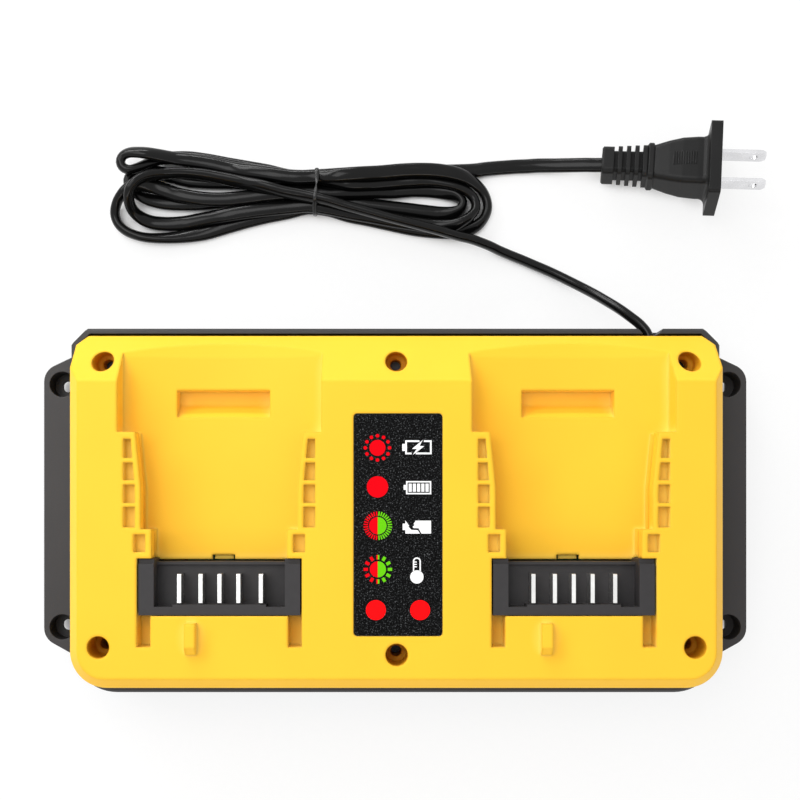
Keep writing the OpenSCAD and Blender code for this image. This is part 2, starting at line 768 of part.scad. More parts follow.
// Half width of the hank at x: two lobes and a waist, with round ends.
function hank_half_w(x) =
    let (t = along_lobe(x), swell = pow(sin(112 * pow(t, 0.8)), 2))
    (hank_waist + hank_bulge * swell) * sqrt(max(0, 1 - pow(t, hank_roundness)));

// Middle line of the hank at x.
function hank_middle(x) =
    let (t = along_lobe(x), end_y = x < hank_tie_x ? hank_left_y : hank_right_y)
    hank_y + (end_y - hank_y) * t * t * (3 - 2 * t);

module power_cord_hank() {
    steps = 40;
    xs = [for (i = [0:steps]) hank_left + (hank_right - hank_left) * (1 - cos(180 * i / steps)) / 2];
    color(BLACK) linear_extrude(hank_h) polygon(concat(
        [for (x = xs) [x, hank_middle(x) - hank_half_w(x)]],
        [for (i = [steps - 1:-1:1]) [xs[i], hank_middle(xs[i]) + hank_half_w(xs[i])]]
    ));
}

module power_cord_lead() {
    color(BLACK) flat_tube(lead_route);
}

module power_cord_tail() {
    color(BLACK) flat_tube(tail_route);
}

tie_w = 2;
tie_t = 0.8;

module hank_tie() {
    color(BLACK) translate([hank_tie_x, hank_y, hank_h / 2]) rotate([90, 0, 90])
        translate([0, 0, -tie_w / 2]) difference() {
            linear_extrude(tie_w) rounded_square(2 * hank_waist + 2 * tie_t, hank_h, 3);
            translate([0, 0, -1]) linear_extrude(tie_w + 2) rounded_square(2 * hank_waist, hank_h - 2 * tie_t, 2.4);
        }
}

// ---- plug ----

plug_at = [84.7, 141.2, 8.3]; // middle of the collar's rear face
plug_pitch_up = 8.4;
plug_yaw = -4;
plug_roll = -15;
collar = [12.2, 12.2, 4.8];   // width, thickness, length
relief_r = 2.4;
relief_core = [9.4, 9.2];
rib_start = 6.4;
rib_l = 1.65;
rib_pitch = 3.33;
rib_growth = 0.35;
last_ring = [14.2, 12.4];
last_ring_start = 16.3;
neck = [16.4, 12.6, 3.1];
neck_start = 18;
neck_chamfer = 0.7;
// Sections of the body: distance along the axis, width, thickness.
body_sections = [[21, 15, 12], [26.5, 18, 14], [31.8, 20.1, 15.5], [37.7, 20.8, 16.3], [39.8, 20.8, 16.3]];
flange = [32, 21.5, 4.5];
body_l = 42.2;                // from the collar's rear face to the flange
fillet_r = 2.4;
grip_bars = 10;
grip_start = 28.4;
grip_pitch = 0.95;
grip_low = 7.3;               // half thickness of the body at the first bar, and its rise per bar
grip_rise = 0.09;
grip_h = 0.3;

module at_plug() {
    translate(plug_at) rotate([0, 0, plug_yaw]) rotate([0, -plug_pitch_up, 0]) rotate([plug_roll, 0, 0]) children();
}

// A slab of the plug across its axis: start along the axis, length, width, thickness, corner radius.
module plug_slab(start, length, w, t, r) {
    translate([start, 0, 0]) rotate([90, 0, 90]) linear_extrude(length) rounded_square(w, t, r);
}

// How far the flare at the flange stands out from the body, at a distance from the flange.
function flare(d) = fillet_r - sqrt(max(0, fillet_r * fillet_r - (fillet_r - d) * (fillet_r - d)));

module plug_body() {
    slice = 0.1;
    last = body_sections[len(body_sections) - 1];
    flare_steps = [fillet_r, 1.2, 0.5, slice / 2];
    color(BLACK) at_plug() {
        hull() {
            plug_slab(0, slice, collar[0] - 1, collar[1] - 1, relief_r, $fn = 32);
            plug_slab(0.6, collar[2] - 0.6, collar[0], collar[1], relief_r, $fn = 32);
        }
        plug_slab(1, neck_start, relief_core[0], relief_core[1], 1.6, $fn = 32);
        for (n = [0:2])
            plug_slab(rib_start + n * rib_pitch, rib_l, collar[0] + (n + 1) * rib_growth,
                collar[1] + (n + 1) * rib_growth, relief_r, $fn = 32);
        plug_slab(last_ring_start, neck_start - last_ring_start, last_ring[0], last_ring[1], relief_r, $fn = 32);
        hull() {
            plug_slab(neck_start, neck[2], neck[0] - 2 * neck_chamfer, neck[1] - 2 * neck_chamfer, relief_r, $fn = 32);
            plug_slab(neck_start + neck_chamfer, neck[2] - 2 * neck_chamfer, neck[0], neck[1], relief_r, $fn = 32);
        }
        hull() for (at = body_sections)
            plug_slab(at[0], slice, at[1], at[2], relief_r, $fn = 32);
        for (n = [0:len(flare_steps) - 2])
            hull() for (d = [flare_steps[n], flare_steps[n + 1]])
                plug_slab(body_l - d, slice, last[1] + 2 * flare(d), last[2] + 2 * flare(d), relief_r, $fn = 32);
        plug_slab(body_l, flange[2], flange[0], flange[1], 1.6, $fn = 32);
        for (n = [0:grip_bars - 1], s = [-1, 1])
            block([grip_start + n * grip_pitch, 0, s * (grip_low + n * grip_rise) - grip_h], [0.45, 5.8, 2 * grip_h]);
    }
}

module plug_blade(s) {
    tip = plug_blade_l;
    half = 6.35 / 2;
    color(METAL) at_plug() difference() {
        translate([body_l + flange[2], s * plug_pitch / 2 + 0.76, 0]) rotate([90, 0, 0]) linear_extrude(1.52)
            polygon([[0, -half], [tip - 1.5, -half], [tip, -half + 1.5], [tip, half - 1.5], [tip - 1.5, half], [0, half]]);
        translate([body_l + flange[2] + tip - 4.8, 0, 0]) rotate([90, 0, 0]) cylinder(d = 3.2, h = 30, center = true);
    }
}

// ---- assembly ----

top_shell();
base_shell();
label_panel();
housing_screws();
board_screws();
for (i = [0, 1]) {
    indicator_window(i);
    indicator_led(i);
    terminal_block(i);
    terminal_wires(i);
    heat_sink(i);
    for (n = [0:4])
        terminal_blade(i, n);
    for (e = [0, 1])
        foot(turn(i) * feet_x, turn(e) * feet_y);
}
main_board();
transformer_core();
transformer_coil();
line_choke();
standing_can(-17, 24, 18, 27, [0.15, 0.2, 0.3]);  // mains_capacitor
standing_can(-16, -22, 12.5, 20, [0.15, 0.2, 0.3]);  // output_capacitor_left
standing_can(16, -22, 12.5, 20, [0.15, 0.2, 0.3]);  // output_capacitor_right
power_transistors();
bridge_rectifier();
fuse();
mains_connector();
mains_wires();
indicator_board();
cord_gland();
cord_clamp();
clamp_screws();
power_cord_lead();
power_cord_hank();
power_cord_tail();
hank_tie();
plug_body();
plug_blade(1);  // plug_blade_1
plug_blade(-1);  // plug_blade_2
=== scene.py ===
"""Dual-bay charger for slide-on tool batteries: looks, cord, panel print and studio, in metres."""

import math

import bmesh
import bpy
from bpy.props import FloatProperty, FloatVectorProperty, IntProperty, PointerProperty
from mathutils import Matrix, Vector


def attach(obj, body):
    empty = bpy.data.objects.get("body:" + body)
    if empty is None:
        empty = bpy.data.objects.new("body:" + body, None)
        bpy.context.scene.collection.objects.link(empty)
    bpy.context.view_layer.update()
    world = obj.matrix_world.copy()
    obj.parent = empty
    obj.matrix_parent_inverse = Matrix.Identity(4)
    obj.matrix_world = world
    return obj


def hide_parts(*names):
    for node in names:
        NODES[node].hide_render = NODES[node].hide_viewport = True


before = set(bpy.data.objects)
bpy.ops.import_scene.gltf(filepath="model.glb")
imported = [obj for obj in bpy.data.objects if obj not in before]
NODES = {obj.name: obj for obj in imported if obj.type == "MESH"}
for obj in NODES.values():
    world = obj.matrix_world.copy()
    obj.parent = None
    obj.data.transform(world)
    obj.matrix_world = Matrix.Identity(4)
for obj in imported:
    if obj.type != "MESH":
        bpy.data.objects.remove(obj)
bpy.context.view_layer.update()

bl_info = {
    "name": "Dual-bay tool battery charger",
    "version": (1, 0, 0),
    "blender": (4, 5, 0),
    "location": "View3D > Sidebar > Charger",
    "description": "Finishes, mains cord, panel print and studio for a two-bay charger",
    "category": "Object",
}

MM = 0.001
PANEL_Z = 51.95 * MM  # face of the indicator panel
FLOOR_GAP = 0.05 * MM  # air kept under the cord and its tie
# middles of the shell's screw wells, in millimetres; those beside the middle are mirrored to the left
SCREW_WELLS = [(0, -54.2), (112, -51.4), (0, 56.8), (112, 56.8)]
WELL_RADIUS = 4.2 * MM
WELL_EDGE = 0.2 * MM  # over which the painted shade in the wells fades out
RECESS_REACH = 6 * MM  # how near a wall has to be for light or shade to be painted into recesses
SHADOW_REACH = 10 * MM  # how near the charger has to be to shade the studio paper


# ---- colours and nodes ----


def linear(hex_colour):
    """Turns an sRGB hex colour into linear RGBA."""
    digits = hex_colour.lstrip("#")
    channels = [int(digits[i : i + 2], 16) / 255 for i in (0, 2, 4)]
    return [c / 12.92 if c <= 0.04045 else ((c + 0.055) / 1.055) ** 2.4 for c in channels] + [1.0]


def shade(colour, factor):
    """A lighter or darker tone of a linear colour."""
    return [min(1.0, c * factor) for c in colour[:3]] + [1.0]


def add(tree, kind, settings=None, **sockets):
    """Adds one node, sets its properties, and fills or links its input sockets."""
    made = tree.nodes.new(kind)
    for key, value in (settings or {}).items():
        setattr(made, key, value)
    for key, value in sockets.items():
        name = key.replace("_", " ")
        socket = made.inputs[int(key[1:])] if key[0] == "i" and key[1:].isdigit() else made.inputs[name]
        if isinstance(value, bpy.types.NodeSocket):
            tree.links.new(value, socket)
        else:
            socket.default_value = value
    return made


def ramp(tree, factor, stops, interpolation="LINEAR"):
    """Adds a colour ramp with the given (position, colour) stops."""
    made = add(tree, "ShaderNodeValToRGB", Fac=factor)
    band = made.color_ramp
    band.interpolation = interpolation
    while len(band.elements) < len(stops):
        band.elements.new(0.5)
    for element, (position, colour) in zip(band.elements, stops):
        element.position = position
        element.color = colour if hasattr(colour, "__len__") else (colour, colour, colour, 1.0)
    return made


def material(name):
    """A new node material: its tree, its shader and its place in the object's own metres."""
    made = bpy.data.materials.new(name)
    made.use_nodes = True
    tree = made.node_tree
    shader = tree.nodes["Principled BSDF"]
    place = add(tree, "ShaderNodeTexCoord").outputs["Object"]
    return made, tree, shader, place


def grain(tree, place, size, detail=3.0, roughness=0.5, stretch=None):
    """Noise with the given size of grain, in metres."""
    if stretch:
        place = add(tree, "ShaderNodeMapping", Vector=place, Scale=stretch).outputs["Vector"]
    return add(
        tree, "ShaderNodeTexNoise", Vector=place, Scale=1 / size, Detail=detail, Roughness=roughness
    ).outputs["Fac"]


def spread(tree, value, low, high):
    """Maps a noise value onto a range."""
    return add(
        tree, "ShaderNodeMapRange", Value=value, From_Min=0.3, From_Max=0.7, To_Min=low, To_Max=high
    ).outputs["Result"]


def tinted(tree, factor, dark, light):
    """A colour between two tones."""
    return ramp(tree, factor, [(0.3, dark), (0.7, light)]).outputs["Color"]


def openness(tree, reach):
    """1 where nothing stands within reach of the surface, and less where it is walled in."""
    return add(tree, "ShaderNodeAmbientOcclusion", {"samples": 8}, Distance=reach).outputs["AO"]


def seen_directly(tree):
    """1 for what the eye sees straight, in a mirror or through glass, and 0 for light that bounces."""
    path = add(tree, "ShaderNodeLightPath").outputs
    seen = path["Is Camera Ray"]
    for ray in ("Is Glossy Ray", "Is Transmission Ray"):
        seen = add(tree, "ShaderNodeMath", {"operation": "MAXIMUM"}, i0=seen, i1=path[ray]).outputs[0]
    return seen


def in_wells(tree, place):
    """1 inside the shell's screw wells, where shade is painted, and 0 elsewhere."""
    parts = add(tree, "ShaderNodeSeparateXYZ", Vector=place).outputs
    side = add(tree, "ShaderNodeMath", {"operation": "ABSOLUTE"}, i0=parts["X"]).outputs[0]
    flat = add(tree, "ShaderNodeCombineXYZ", X=side, Y=parts["Y"]).outputs["Vector"]
    nearest = 1.0
    for x, y in SCREW_WELLS:
        away = add(
            tree, "ShaderNodeVectorMath", {"operation": "DISTANCE"}, i0=flat, i1=(x * MM, y * MM, 0)
        ).outputs["Value"]
        nearest = add(tree, "ShaderNodeMath", {"operation": "MINIMUM"}, i0=nearest, i1=away).outputs[0]
    return add(
        tree, "ShaderNodeMapRange", Value=nearest, From_Min=WELL_RADIUS, From_Max=WELL_RADIUS + WELL_EDGE,
        To_Min=1.0, To_Max=0.0,
    ).outputs["Result"]


def moulding(
    name, colour, roughness, grain_size, grain_depth, edge, tone=0.05, patch=18 * MM, gloss=0.5, painted_recess_light_shade=None,
    painted_well_shade=None,
):
    """Injection-moulded plastic: spark-eroded grain, soft edges, and slow changes of tone and gloss.

    Narrow recesses take the given colour by how walled in they are, as painted light where it is lighter and
    painted shade where it is darker; the shell's screw wells take the given painted shade, where one is
    given.
    """
    made, tree, shader, place = material(name)
    slow = grain(tree, place, patch, 2.0)
    fine = grain(tree, place, grain_size, 4.0, 0.6)
    rounded = add(tree, "ShaderNodeBevel", {"samples": 6}, Radius=edge).outputs["Normal"]
    skin = tinted(tree, slow, shade(colour, 1 - tone), shade(colour, 1 + tone))
    if painted_recess_light_shade:
        # narrow recesses are mixed towards the given colour where walls stand near: a painted light when it
        # is lighter than the skin, a painted shade when darker
        open_sky = openness(tree, RECESS_REACH)
        depth = ramp(tree, open_sky, [(0.15, 0.0), (0.88, 1.0)]).outputs["Color"]
        skin = add(tree, "ShaderNodeMix", {"data_type": "RGBA"}, i0=depth, i6=painted_recess_light_shade, i7=skin).outputs[2]
    if painted_well_shade:
        # painted shade in the shell's screw wells
        inside = in_wells(tree, place)
        skin = add(tree, "ShaderNodeMix", {"data_type": "RGBA"}, i0=inside, i6=skin, i7=painted_well_shade).outputs[2]
    tree.links.new(skin, shader.inputs["Base Color"])
    tree.links.new(spread(tree, fine, roughness - 0.04, roughness + 0.05), shader.inputs["Roughness"])
    bump = add(
        tree, "ShaderNodeBump", Strength=1.0, Distance=grain_depth, Height=fine, Normal=rounded
    ).outputs["Normal"]
    tree.links.new(bump, shader.inputs["Normal"])
    shader.inputs["IOR"].default_value = 1.52
    shader.inputs["Specular IOR Level"].default_value = gloss
    return made


def metal(name, colour, roughness, scratch, depth, direction=(1, 1, 1), edge=0.1 * MM):
    """Worked metal: fine scratches along one direction over a slightly uneven gloss."""
    made, tree, shader, place = material(name)
    lines = grain(tree, place, scratch, 3.0, 0.6, direction)
    slow = grain(tree, place, 6 * MM, 2.0)
    rounded = add(tree, "ShaderNodeBevel", {"samples": 4}, Radius=edge).outputs["Normal"]
    tree.links.new(tinted(tree, slow, shade(colour, 0.92), shade(colour, 1.04)), shader.inputs["Base Color"])
    tree.links.new(spread(tree, lines, roughness * 0.8, roughness * 1.25), shader.inputs["Roughness"])
    bump = add(
        tree, "ShaderNodeBump", Strength=0.6, Distance=depth, Height=lines, Normal=rounded
    ).outputs["Normal"]
    tree.links.new(bump, shader.inputs["Normal"])
    shader.inputs["Metallic"].default_value = 1.0
    return made


def finish(names, made):
    """Gives CAD nodes one material."""
    for name in names:
        slots = NODES[name].data.materials
        slots.clear()
        slots.append(made)


# ---- mesh helpers ----


def piece(name, vertices, faces, materials, face_materials=None, smooth=None):
    """Makes one mesh object that rides on the charger."""
    mesh = bpy.data.meshes.new(name)
    mesh.from_pydata([tuple(v) for v in vertices], [], faces)
    for made in materials:
        mesh.materials.append(made)
    if face_materials:
        mesh.polygons.foreach_set("material_index", face_materials)
    mesh.validate()
    body = bmesh.new()
    body.from_mesh(mesh)
    bmesh.ops.recalc_face_normals(body, faces=body.faces)
    body.to_mesh(mesh)
    body.free()
    if smooth is not None:
        mesh.shade_smooth()
        if smooth < 180:
            mesh.set_sharp_from_angle(angle=math.radians(smooth))
    made = bpy.data.objects.new(name, mesh)
    bpy.context.scene.collection.objects.link(made)
    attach(made, "root")
    return made


CURVE_PARTS = 24  # straight parts between two route points, before the even steps


def smooth_line(points, step):
    """Centripetal Catmull-Rom line through points of any dimension, at an even step along its length."""
    rows = [Vector(p) for p in points]
    rows = [2 * rows[0] - rows[1]] + rows + [2 * rows[-1] - rows[-2]]
    dense = []
    for a, b, c, d in zip(rows, rows[1:], rows[2:], rows[3:]):
        ta = 0.0
        tb = ta + math.sqrt((b.xyz - a.xyz).length)
        tc = tb + math.sqrt((c.xyz - b.xyz).length)
        td = tc + math.sqrt((d.xyz - c.xyz).length)
        for i in range(CURVE_PARTS):
            t = tb + (tc - tb) * i / CURVE_PARTS
            ab = a.lerp(b, (t - ta) / (tb - ta))
            bc = b.lerp(c, (t - tb) / (tc - tb))
            cd = c.lerp(d, (t - tc) / (td - tc))
            abc = ab.lerp(bc, (t - ta) / (tc - ta))
            bcd = bc.lerp(cd, (t - tb) / (td - tb))
            dense.append(abc.lerp(bcd, (t - tb) / (tc - tb)))
    dense.append(rows[-2])
    run = [0.0]
    for a, b in zip(dense, dense[1:]):
        run.append(run[-1] + (b.xyz - a.xyz).length)
    count = max(2, round(run[-1] / step))
    line, at = [], 0
    for i in range(count + 1):
        wanted = run[-1] * i / count
        while at < len(run) - 2 and run[at + 1] < wanted:
            at += 1
        line.append(dense[at].lerp(dense[at + 1], (wanted - run[at]) / (run[at + 1] - run[at])))
    return line, run[-1]


def oblong(width, height, sides=24, power=2.2):
    """Flat round-shouldered section with slightly crowned faces, as (across, up) pairs."""
    ring = []
    for i in range(sides):
        c, s = math.cos(math.tau * i / sides), math.sin(math.tau * i / sides)
        reach = (abs(c) ** power + abs(s) ** power) ** (-1 / power)
        ring.append((width / 2 * reach * c, height / 2 * reach * s))
    return ring


def swept(line, ring, twists):
    """Vertices and faces of a closed tube whose section turns by the given angles about its line."""
    vertices, faces = [], []
    last = len(line) - 1
    for i, centre in enumerate(line):
        along = (line[min(last, i + 1)] - line[max(0, i - 1)]).normalized()
        level = Vector((-along.y, along.x, 0)).normalized()
        up = along.cross(level)
        turn = math.radians(twists[i])
        across = level * math.cos(turn) + up * math.sin(turn)
        over = up * math.cos(turn) - level * math.sin(turn)
        offsets = [across * a + over * b for a, b in ring]
        lowest = centre.z + min(offset.z for offset in offsets)
        lift = Vector((0, 0, max(0.0, FLOOR_GAP - lowest)))
        vertices += [centre + lift + offset for offset in offsets]
    n = len(ring)
    for i in range(last):
        for k in range(n):
            faces.append((i * n + k, i * n + (k + 1) % n, (i + 1) * n + (k + 1) % n, (i + 1) * n + k))
    faces.append(tuple(range(n - 1, -1, -1)))
    faces.append(tuple(last * n + k for k in range(n)))
    return vertices, faces


def right_turn(a, b, c):
    """Whether the way from a over b to c turns right or runs straight."""
    return (b[0] - a[0]) * (c[1] - a[1]) <= (b[1] - a[1]) * (c[0] - a[0])


def hull_outline(points):
    """Convex outline of flat points, anticlockwise."""
    points = sorted(set(points))
    halves = []
    for run in (points, points[::-1]):
        half = []
        for p in run:
            while len(half) > 1 and right_turn(half[-2], half[-1], p):
                half.pop()
            half.append(p)
        halves.append(half[:-1])
    return halves[0] + halves[1]


class Print:
    """Flat inked shapes on the panel, each a thin prism, gathered by ink."""

    DEPTH = 0.03 * MM  # above the panel's face
    SUNK = 0.01 * MM  # below it
    SECTOR_STEP = 6  # degrees of a round edge in one straight part

    def __init__(self):
        self.vertices, self.faces, self.inks = [], [], []

    def shape(self, outline, ink):
        """One inked shape; its outline is in millimetres on the panel."""
        start, n = len(self.vertices), len(outline)
        for z in (PANEL_Z - self.SUNK, PANEL_Z + self.DEPTH):
            self.vertices += [Vector((x * MM, y * MM, z)) for x, y in outline]
        self.faces.append(tuple(start + i for i in range(n - 1, -1, -1)))
        self.faces.append(tuple(start + n + i for i in range(n)))
        for i in range(n):
            j = (i + 1) % n
            self.faces.append((start + i, start + j, start + n + j, start + n + i))
        self.inks += [ink] * (n + 2)

    def rectangle(self, x0, y0, x1, y1, ink):
        """An upright rectangle between two opposite corners."""
        self.shape([(x0, y0), (x1, y0), (x1, y1), (x0, y1)], ink)

    def sector(self, centre, radius, start, end, ink):
        """Part of a disc between two angles, or the whole of it."""
        whole = end - start >= 360
        steps = max(8, round((end - start) / self.SECTOR_STEP))
        outline = [] if whole else [centre]
        for i in range(steps + (0 if whole else 1)):
            angle = math.radians(start + (end - start) * i / steps)
            outline.append((centre[0] + radius * math.cos(angle), centre[1] + radius * math.sin(angle)))
        if not whole and abs(end - start - 180) < 1e-6:
            outline.pop(0)
        self.shape(outline, ink)

    def ray(self, centre, inner, outer, half, angle, ink, side=0):
        """A short bar that points away from a disc; side keeps only its left or right half."""
        c, s = math.cos(math.radians(angle)), math.sin(math.radians(angle))
        low = -half if side <= 0 else 0
        high = half if side >= 0 else 0
        corners = [(inner, low), (outer, low), (outer, high), (inner, high)]
        self.shape([(centre[0] + r * c + t * s, centre[1] + r * s - t * c) for r, t in corners], ink)

    def make(self, name, inks):
        """The sign as one piece."""
        made = piece(name, self.vertices, self.faces, inks, self.inks)
        return made


# ---- cord route, in millimetres: x, y, height, and turn of the flat section in degrees ----

LEAD_ROUTE = [
    (100.2, 43, 22, 0), (100.2, 50, 22, 0), (100.3, 56, 22, 35), (100.8, 62, 22, 75), (101.1, 66.6, 22, 90),
    (100.5, 70.4, 21.7, 90), (98, 74.1, 20.6, 90), (94.3, 77.7, 18.6, 90), (90.1, 81.5, 15.8, 90),
    (85.8, 85, 12.6, 90), (81.5, 88.3, 9.6, 90), (76.9, 91.4, 7, 90), (72.3, 94.2, 5.1, 90),
    (67.6, 96.8, 4, 90), (62.7, 99.2, 3.4, 90), (57.7, 101.4, 3.1, 90), (52.8, 103.5, 3.1, 90),
    (47.8, 105.5, 3.1, 90), (42.9, 107.4, 3.9, 90), (38.5, 109, 5.9, 90),
]
HANK_ROUTE = [
    (31.3, 111.2, 7.6, 90), (27.1, 112.1, 8, 90), (22.8, 113, 9.1, 90), (18.6, 114, 10.2, 90),
    (12.2, 115.6, 10.6, 90), (5.8, 117.2, 10.8, 90), (-2.7, 119.4, 10.8, 90),
    (-11.2, 121.7, 10.8, 95), (-19.7, 124, 10.8, 100), (-28.1, 126.4, 11.1, 105),
    (-36.7, 128.3, 10.5, 115), (-45.3, 129.9, 10.5, 115), (-53.8, 132.2, 10.3, 120),
    (-62.3, 134.4, 7.7, 125), (-70.9, 136.4, 6.6, 125), (-79.5, 137.9, 6.6, 120),
    (-88.3, 138.5, 6.8, 110), (-94.8, 137.8, 7.9, 105), (-101.1, 135.9, 11.3, 100),
    (-104.8, 133.5, 13.2, 95), (-107.4, 130.2, 12.9, 95), (-108.3, 126.4, 9.7, 105),
    (-107.2, 123, 5.8, 125), (-104.1, 120.6, 3.1, 150), (-100, 119.2, 2.1, 165),
    (-93.5, 118.6, 2, 175), (-86.9, 119, 2, 180), (-78.3, 120.3, 3.4, 180),
    (-69.5, 121.4, 5.3, 180), (-60.8, 122.7, 5.7, 180), (-52.2, 123.7, 5.8, 180),
    (-43.5, 124.6, 5.9, 180), (-34.8, 125.2, 6.3, 180), (-26.2, 124, 6.1, 180),
    (-17.6, 122.3, 5.8, 180), (-9, 120.8, 5.8, 180), (-0.3, 119.2, 5.8, 180),
    (8.4, 117.8, 5.8, 180), (17, 116.6, 6, 190), (23.6, 116.8, 6.8, 225),
    (27.7, 118.3, 7.2, 250), (31.3, 120.8, 6.6, 265), (33.5, 124.5, 5.2, 270),
    (32.8, 128.5, 4.5, 265), (29.8, 131.6, 4.9, 250), (25.9, 133.6, 5.4, 235),
    (21.7, 134.9, 5.5, 220), (15.2, 136, 5.4, 205), (8.6, 136, 5.5, 195),
    (-0.1, 135.4, 5.5, 190), (-8.9, 134.3, 7, 185), (-17.6, 133.7, 9.5, 180),
    (-26.2, 135.5, 7.9, 180), (-34.8, 136.8, 6.3, 180), (-43.5, 137.3, 6.1, 180),
    (-52.1, 139.4, 5.6, 180), (-60.6, 141.6, 2.9, 180), (-69.2, 143.3, 2, 180),
    (-77.9, 144.9, 2, 180), (-86.6, 145.9, 2, 190), (-95.3, 145.3, 3.2, 210),
    (-100.9, 142.7, 6.5, 235), (-104.6, 140.6, 7.9, 247), (-108.4, 139.3, 8.5, 262),
    (-111.1, 140.4, 8.6, 271), (-112, 142.6, 8.7, 280), (-111, 144.8, 9, 289),
    (-108.4, 145.9, 9.8, 302), (-104.4, 145.9, 10.5, 312), (-100.6, 145.5, 10.6, 320),
    (-96.6, 145.1, 9.2, 330), (-90.3, 144.5, 6.9, 335),
    (-83.8, 143.8, 6.3, 345), (-75.1, 142.4, 6, 350), (-66.5, 140.5, 6.1, 350),
    (-57.9, 138.7, 8.4, 355), (-49.3, 137.1, 9.9, 355), (-40.5, 135.9, 10.1, 360),
    (-31.8, 136.2, 10.1, 360), (-23, 135.9, 13.2, 360), (-14.2, 136.6, 12.8, 365),
    (-5.5, 137.8, 10, 370), (3.2, 138.8, 9.1, 370), (12, 139.1, 8.9, 370),
    (18.6, 138.8, 8.7, 360), (25.1, 137.8, 8.2, 350), (29.3, 136.6, 7, 335),
    (33.2, 134.6, 5, 315), (36.5, 131.8, 3.4, 295), (38.3, 128, 2.9, 280),
    (38.4, 123.8, 2.9, 275), (36.5, 119.9, 2.8, 285), (33.2, 117.3, 2.6, 310),
    (29, 115.9, 2.2, 335), (24.7, 115.3, 2, 350), (20.3, 115.3, 2, 355),
    (13.7, 115.8, 2, 360), (7.1, 116.7, 2, 360), (-1.5, 118.5, 2, 360),
    (-10.1, 120.4, 2, 360), (-18.8, 122.1, 2, 360), (-27.2, 124.5, 2.3, 360),
    (-35.6, 125.3, 2.4, 360), (-44.2, 123.4, 2, 360), (-52.9, 121.7, 2, 360),
    (-61.4, 119.6, 2, 360), (-69.8, 117.2, 2, 360), (-78.3, 114.7, 2, 370),
    (-87, 113.3, 2.3, 390), (-95.7, 112.6, 2.7, 415), (-102.3, 112.8, 2.8, 430),
    (-106.6, 113.7, 2.9, 440), (-110.7, 115.4, 2.9, 450), (-113.9, 118.3, 2.9, 450),
    (-115.3, 122.3, 3.3, 450), (-114.4, 126.2, 4.7, 450), (-112, 129.4, 6.9, 445),
    (-108.6, 132, 8.3, 425), (-104.5, 133.6, 7.2, 395), (-100.3, 133.6, 5.5, 370),
    (-94, 131.7, 5, 360), (-87.8, 129.6, 5.8, 360), (-79.2, 128.1, 6, 360),
    (-70.4, 127.8, 5.9, 360), (-61.6, 128.6, 5.9, 360), (-52.9, 129.7, 5.9, 360),
    (-44.1, 130.5, 5.9, 360), (-35.4, 130.9, 6.2, 360), (-26.5, 130.3, 6.1, 360),
    (-17.7, 130.9, 5.6, 360), (-9, 131.8, 3.2, 360), (-0.4, 132, 2, 360),
    (8.4, 132.6, 2, 360), (17.2, 132.1, 2, 375), (22.2, 131.1, 2.3, 400),
    (26, 129.8, 2.7, 425), (28.3, 127.2, 2.9, 450), (27.5, 124.5, 2.9, 472), (24.6, 123, 2.4, 500),
    (20.3, 122.8, 2, 525), (13.7, 123.5, 2, 540), (7.2, 124.3, 2, 540),
    (-1.5, 125.3, 2, 540), (-10.3, 126.4, 2, 540), (-18.9, 128.2, 2, 540),
    (-27.3, 130.7, 2.3, 540), (-36.2, 131.3, 2.4, 540), (-44.9, 130.6, 2, 540),
    (-53.7, 129.9, 2, 540), (-62.4, 129, 2, 540), (-71.2, 128.1, 2, 540),
    (-79.9, 127.2, 2, 540), (-88.7, 127, 2, 545), (-95.3, 127.4, 2, 550),
    (-101.7, 128.7, 2.3, 575), (-105.8, 130.4, 2.7, 605), (-109.2, 133.2, 2.9, 625),
    (-109.8, 137, 2.9, 630), (-106.6, 139.5, 2.8, 610), (-102.2, 140, 2.5, 590),
    (-97.8, 139.7, 2.2, 570), (-91.4, 138.2, 2, 550), (-85, 136.6, 2, 540),
    (-76.3, 136, 2, 540), (-67.4, 135.9, 2, 540), (-58.7, 135.7, 2, 540),
    (-49.9, 136.3, 2, 540), (-41.1, 136.9, 2.1, 540), (-32.3, 137, 2.4, 540),
    (-23.5, 137.7, 2.1, 540), (-14.8, 138.6, 2, 540), (-6, 139.1, 2, 540),
    (2.8, 139.6, 2, 540), (11.6, 140, 2, 540), (18.2, 140.2, 2, 540),
]
TAIL_ROUTE = [
    (26.8, 140.4, 2, 540), (33.1, 140.7, 2, 540), (37.9, 141.3, 2, 540), (42.1, 141.7, 2, 540),
    (46.3, 142, 2, 540), (50.4, 142.3, 2, 540), (54.6, 142.4, 2.2, 540), (58.7, 142.6, 2.5, 540),
    (62.7, 142.5, 3.1, 540), (66.7, 142.3, 3.9, 540), (70.7, 142.1, 4.9, 540), (74.7, 141.9, 5.9, 540),
    (78.6, 141.7, 6.9, 540), (82.6, 141.4, 7.8, 540), (84.7, 141.3, 8.3, 540), (92, 140.7, 9.4, 540),
]

CORD_STEP = 1.0 * MM  # length of cord between two rings of its mesh
TIE_X = -32.5 * MM


# ---- settings ----


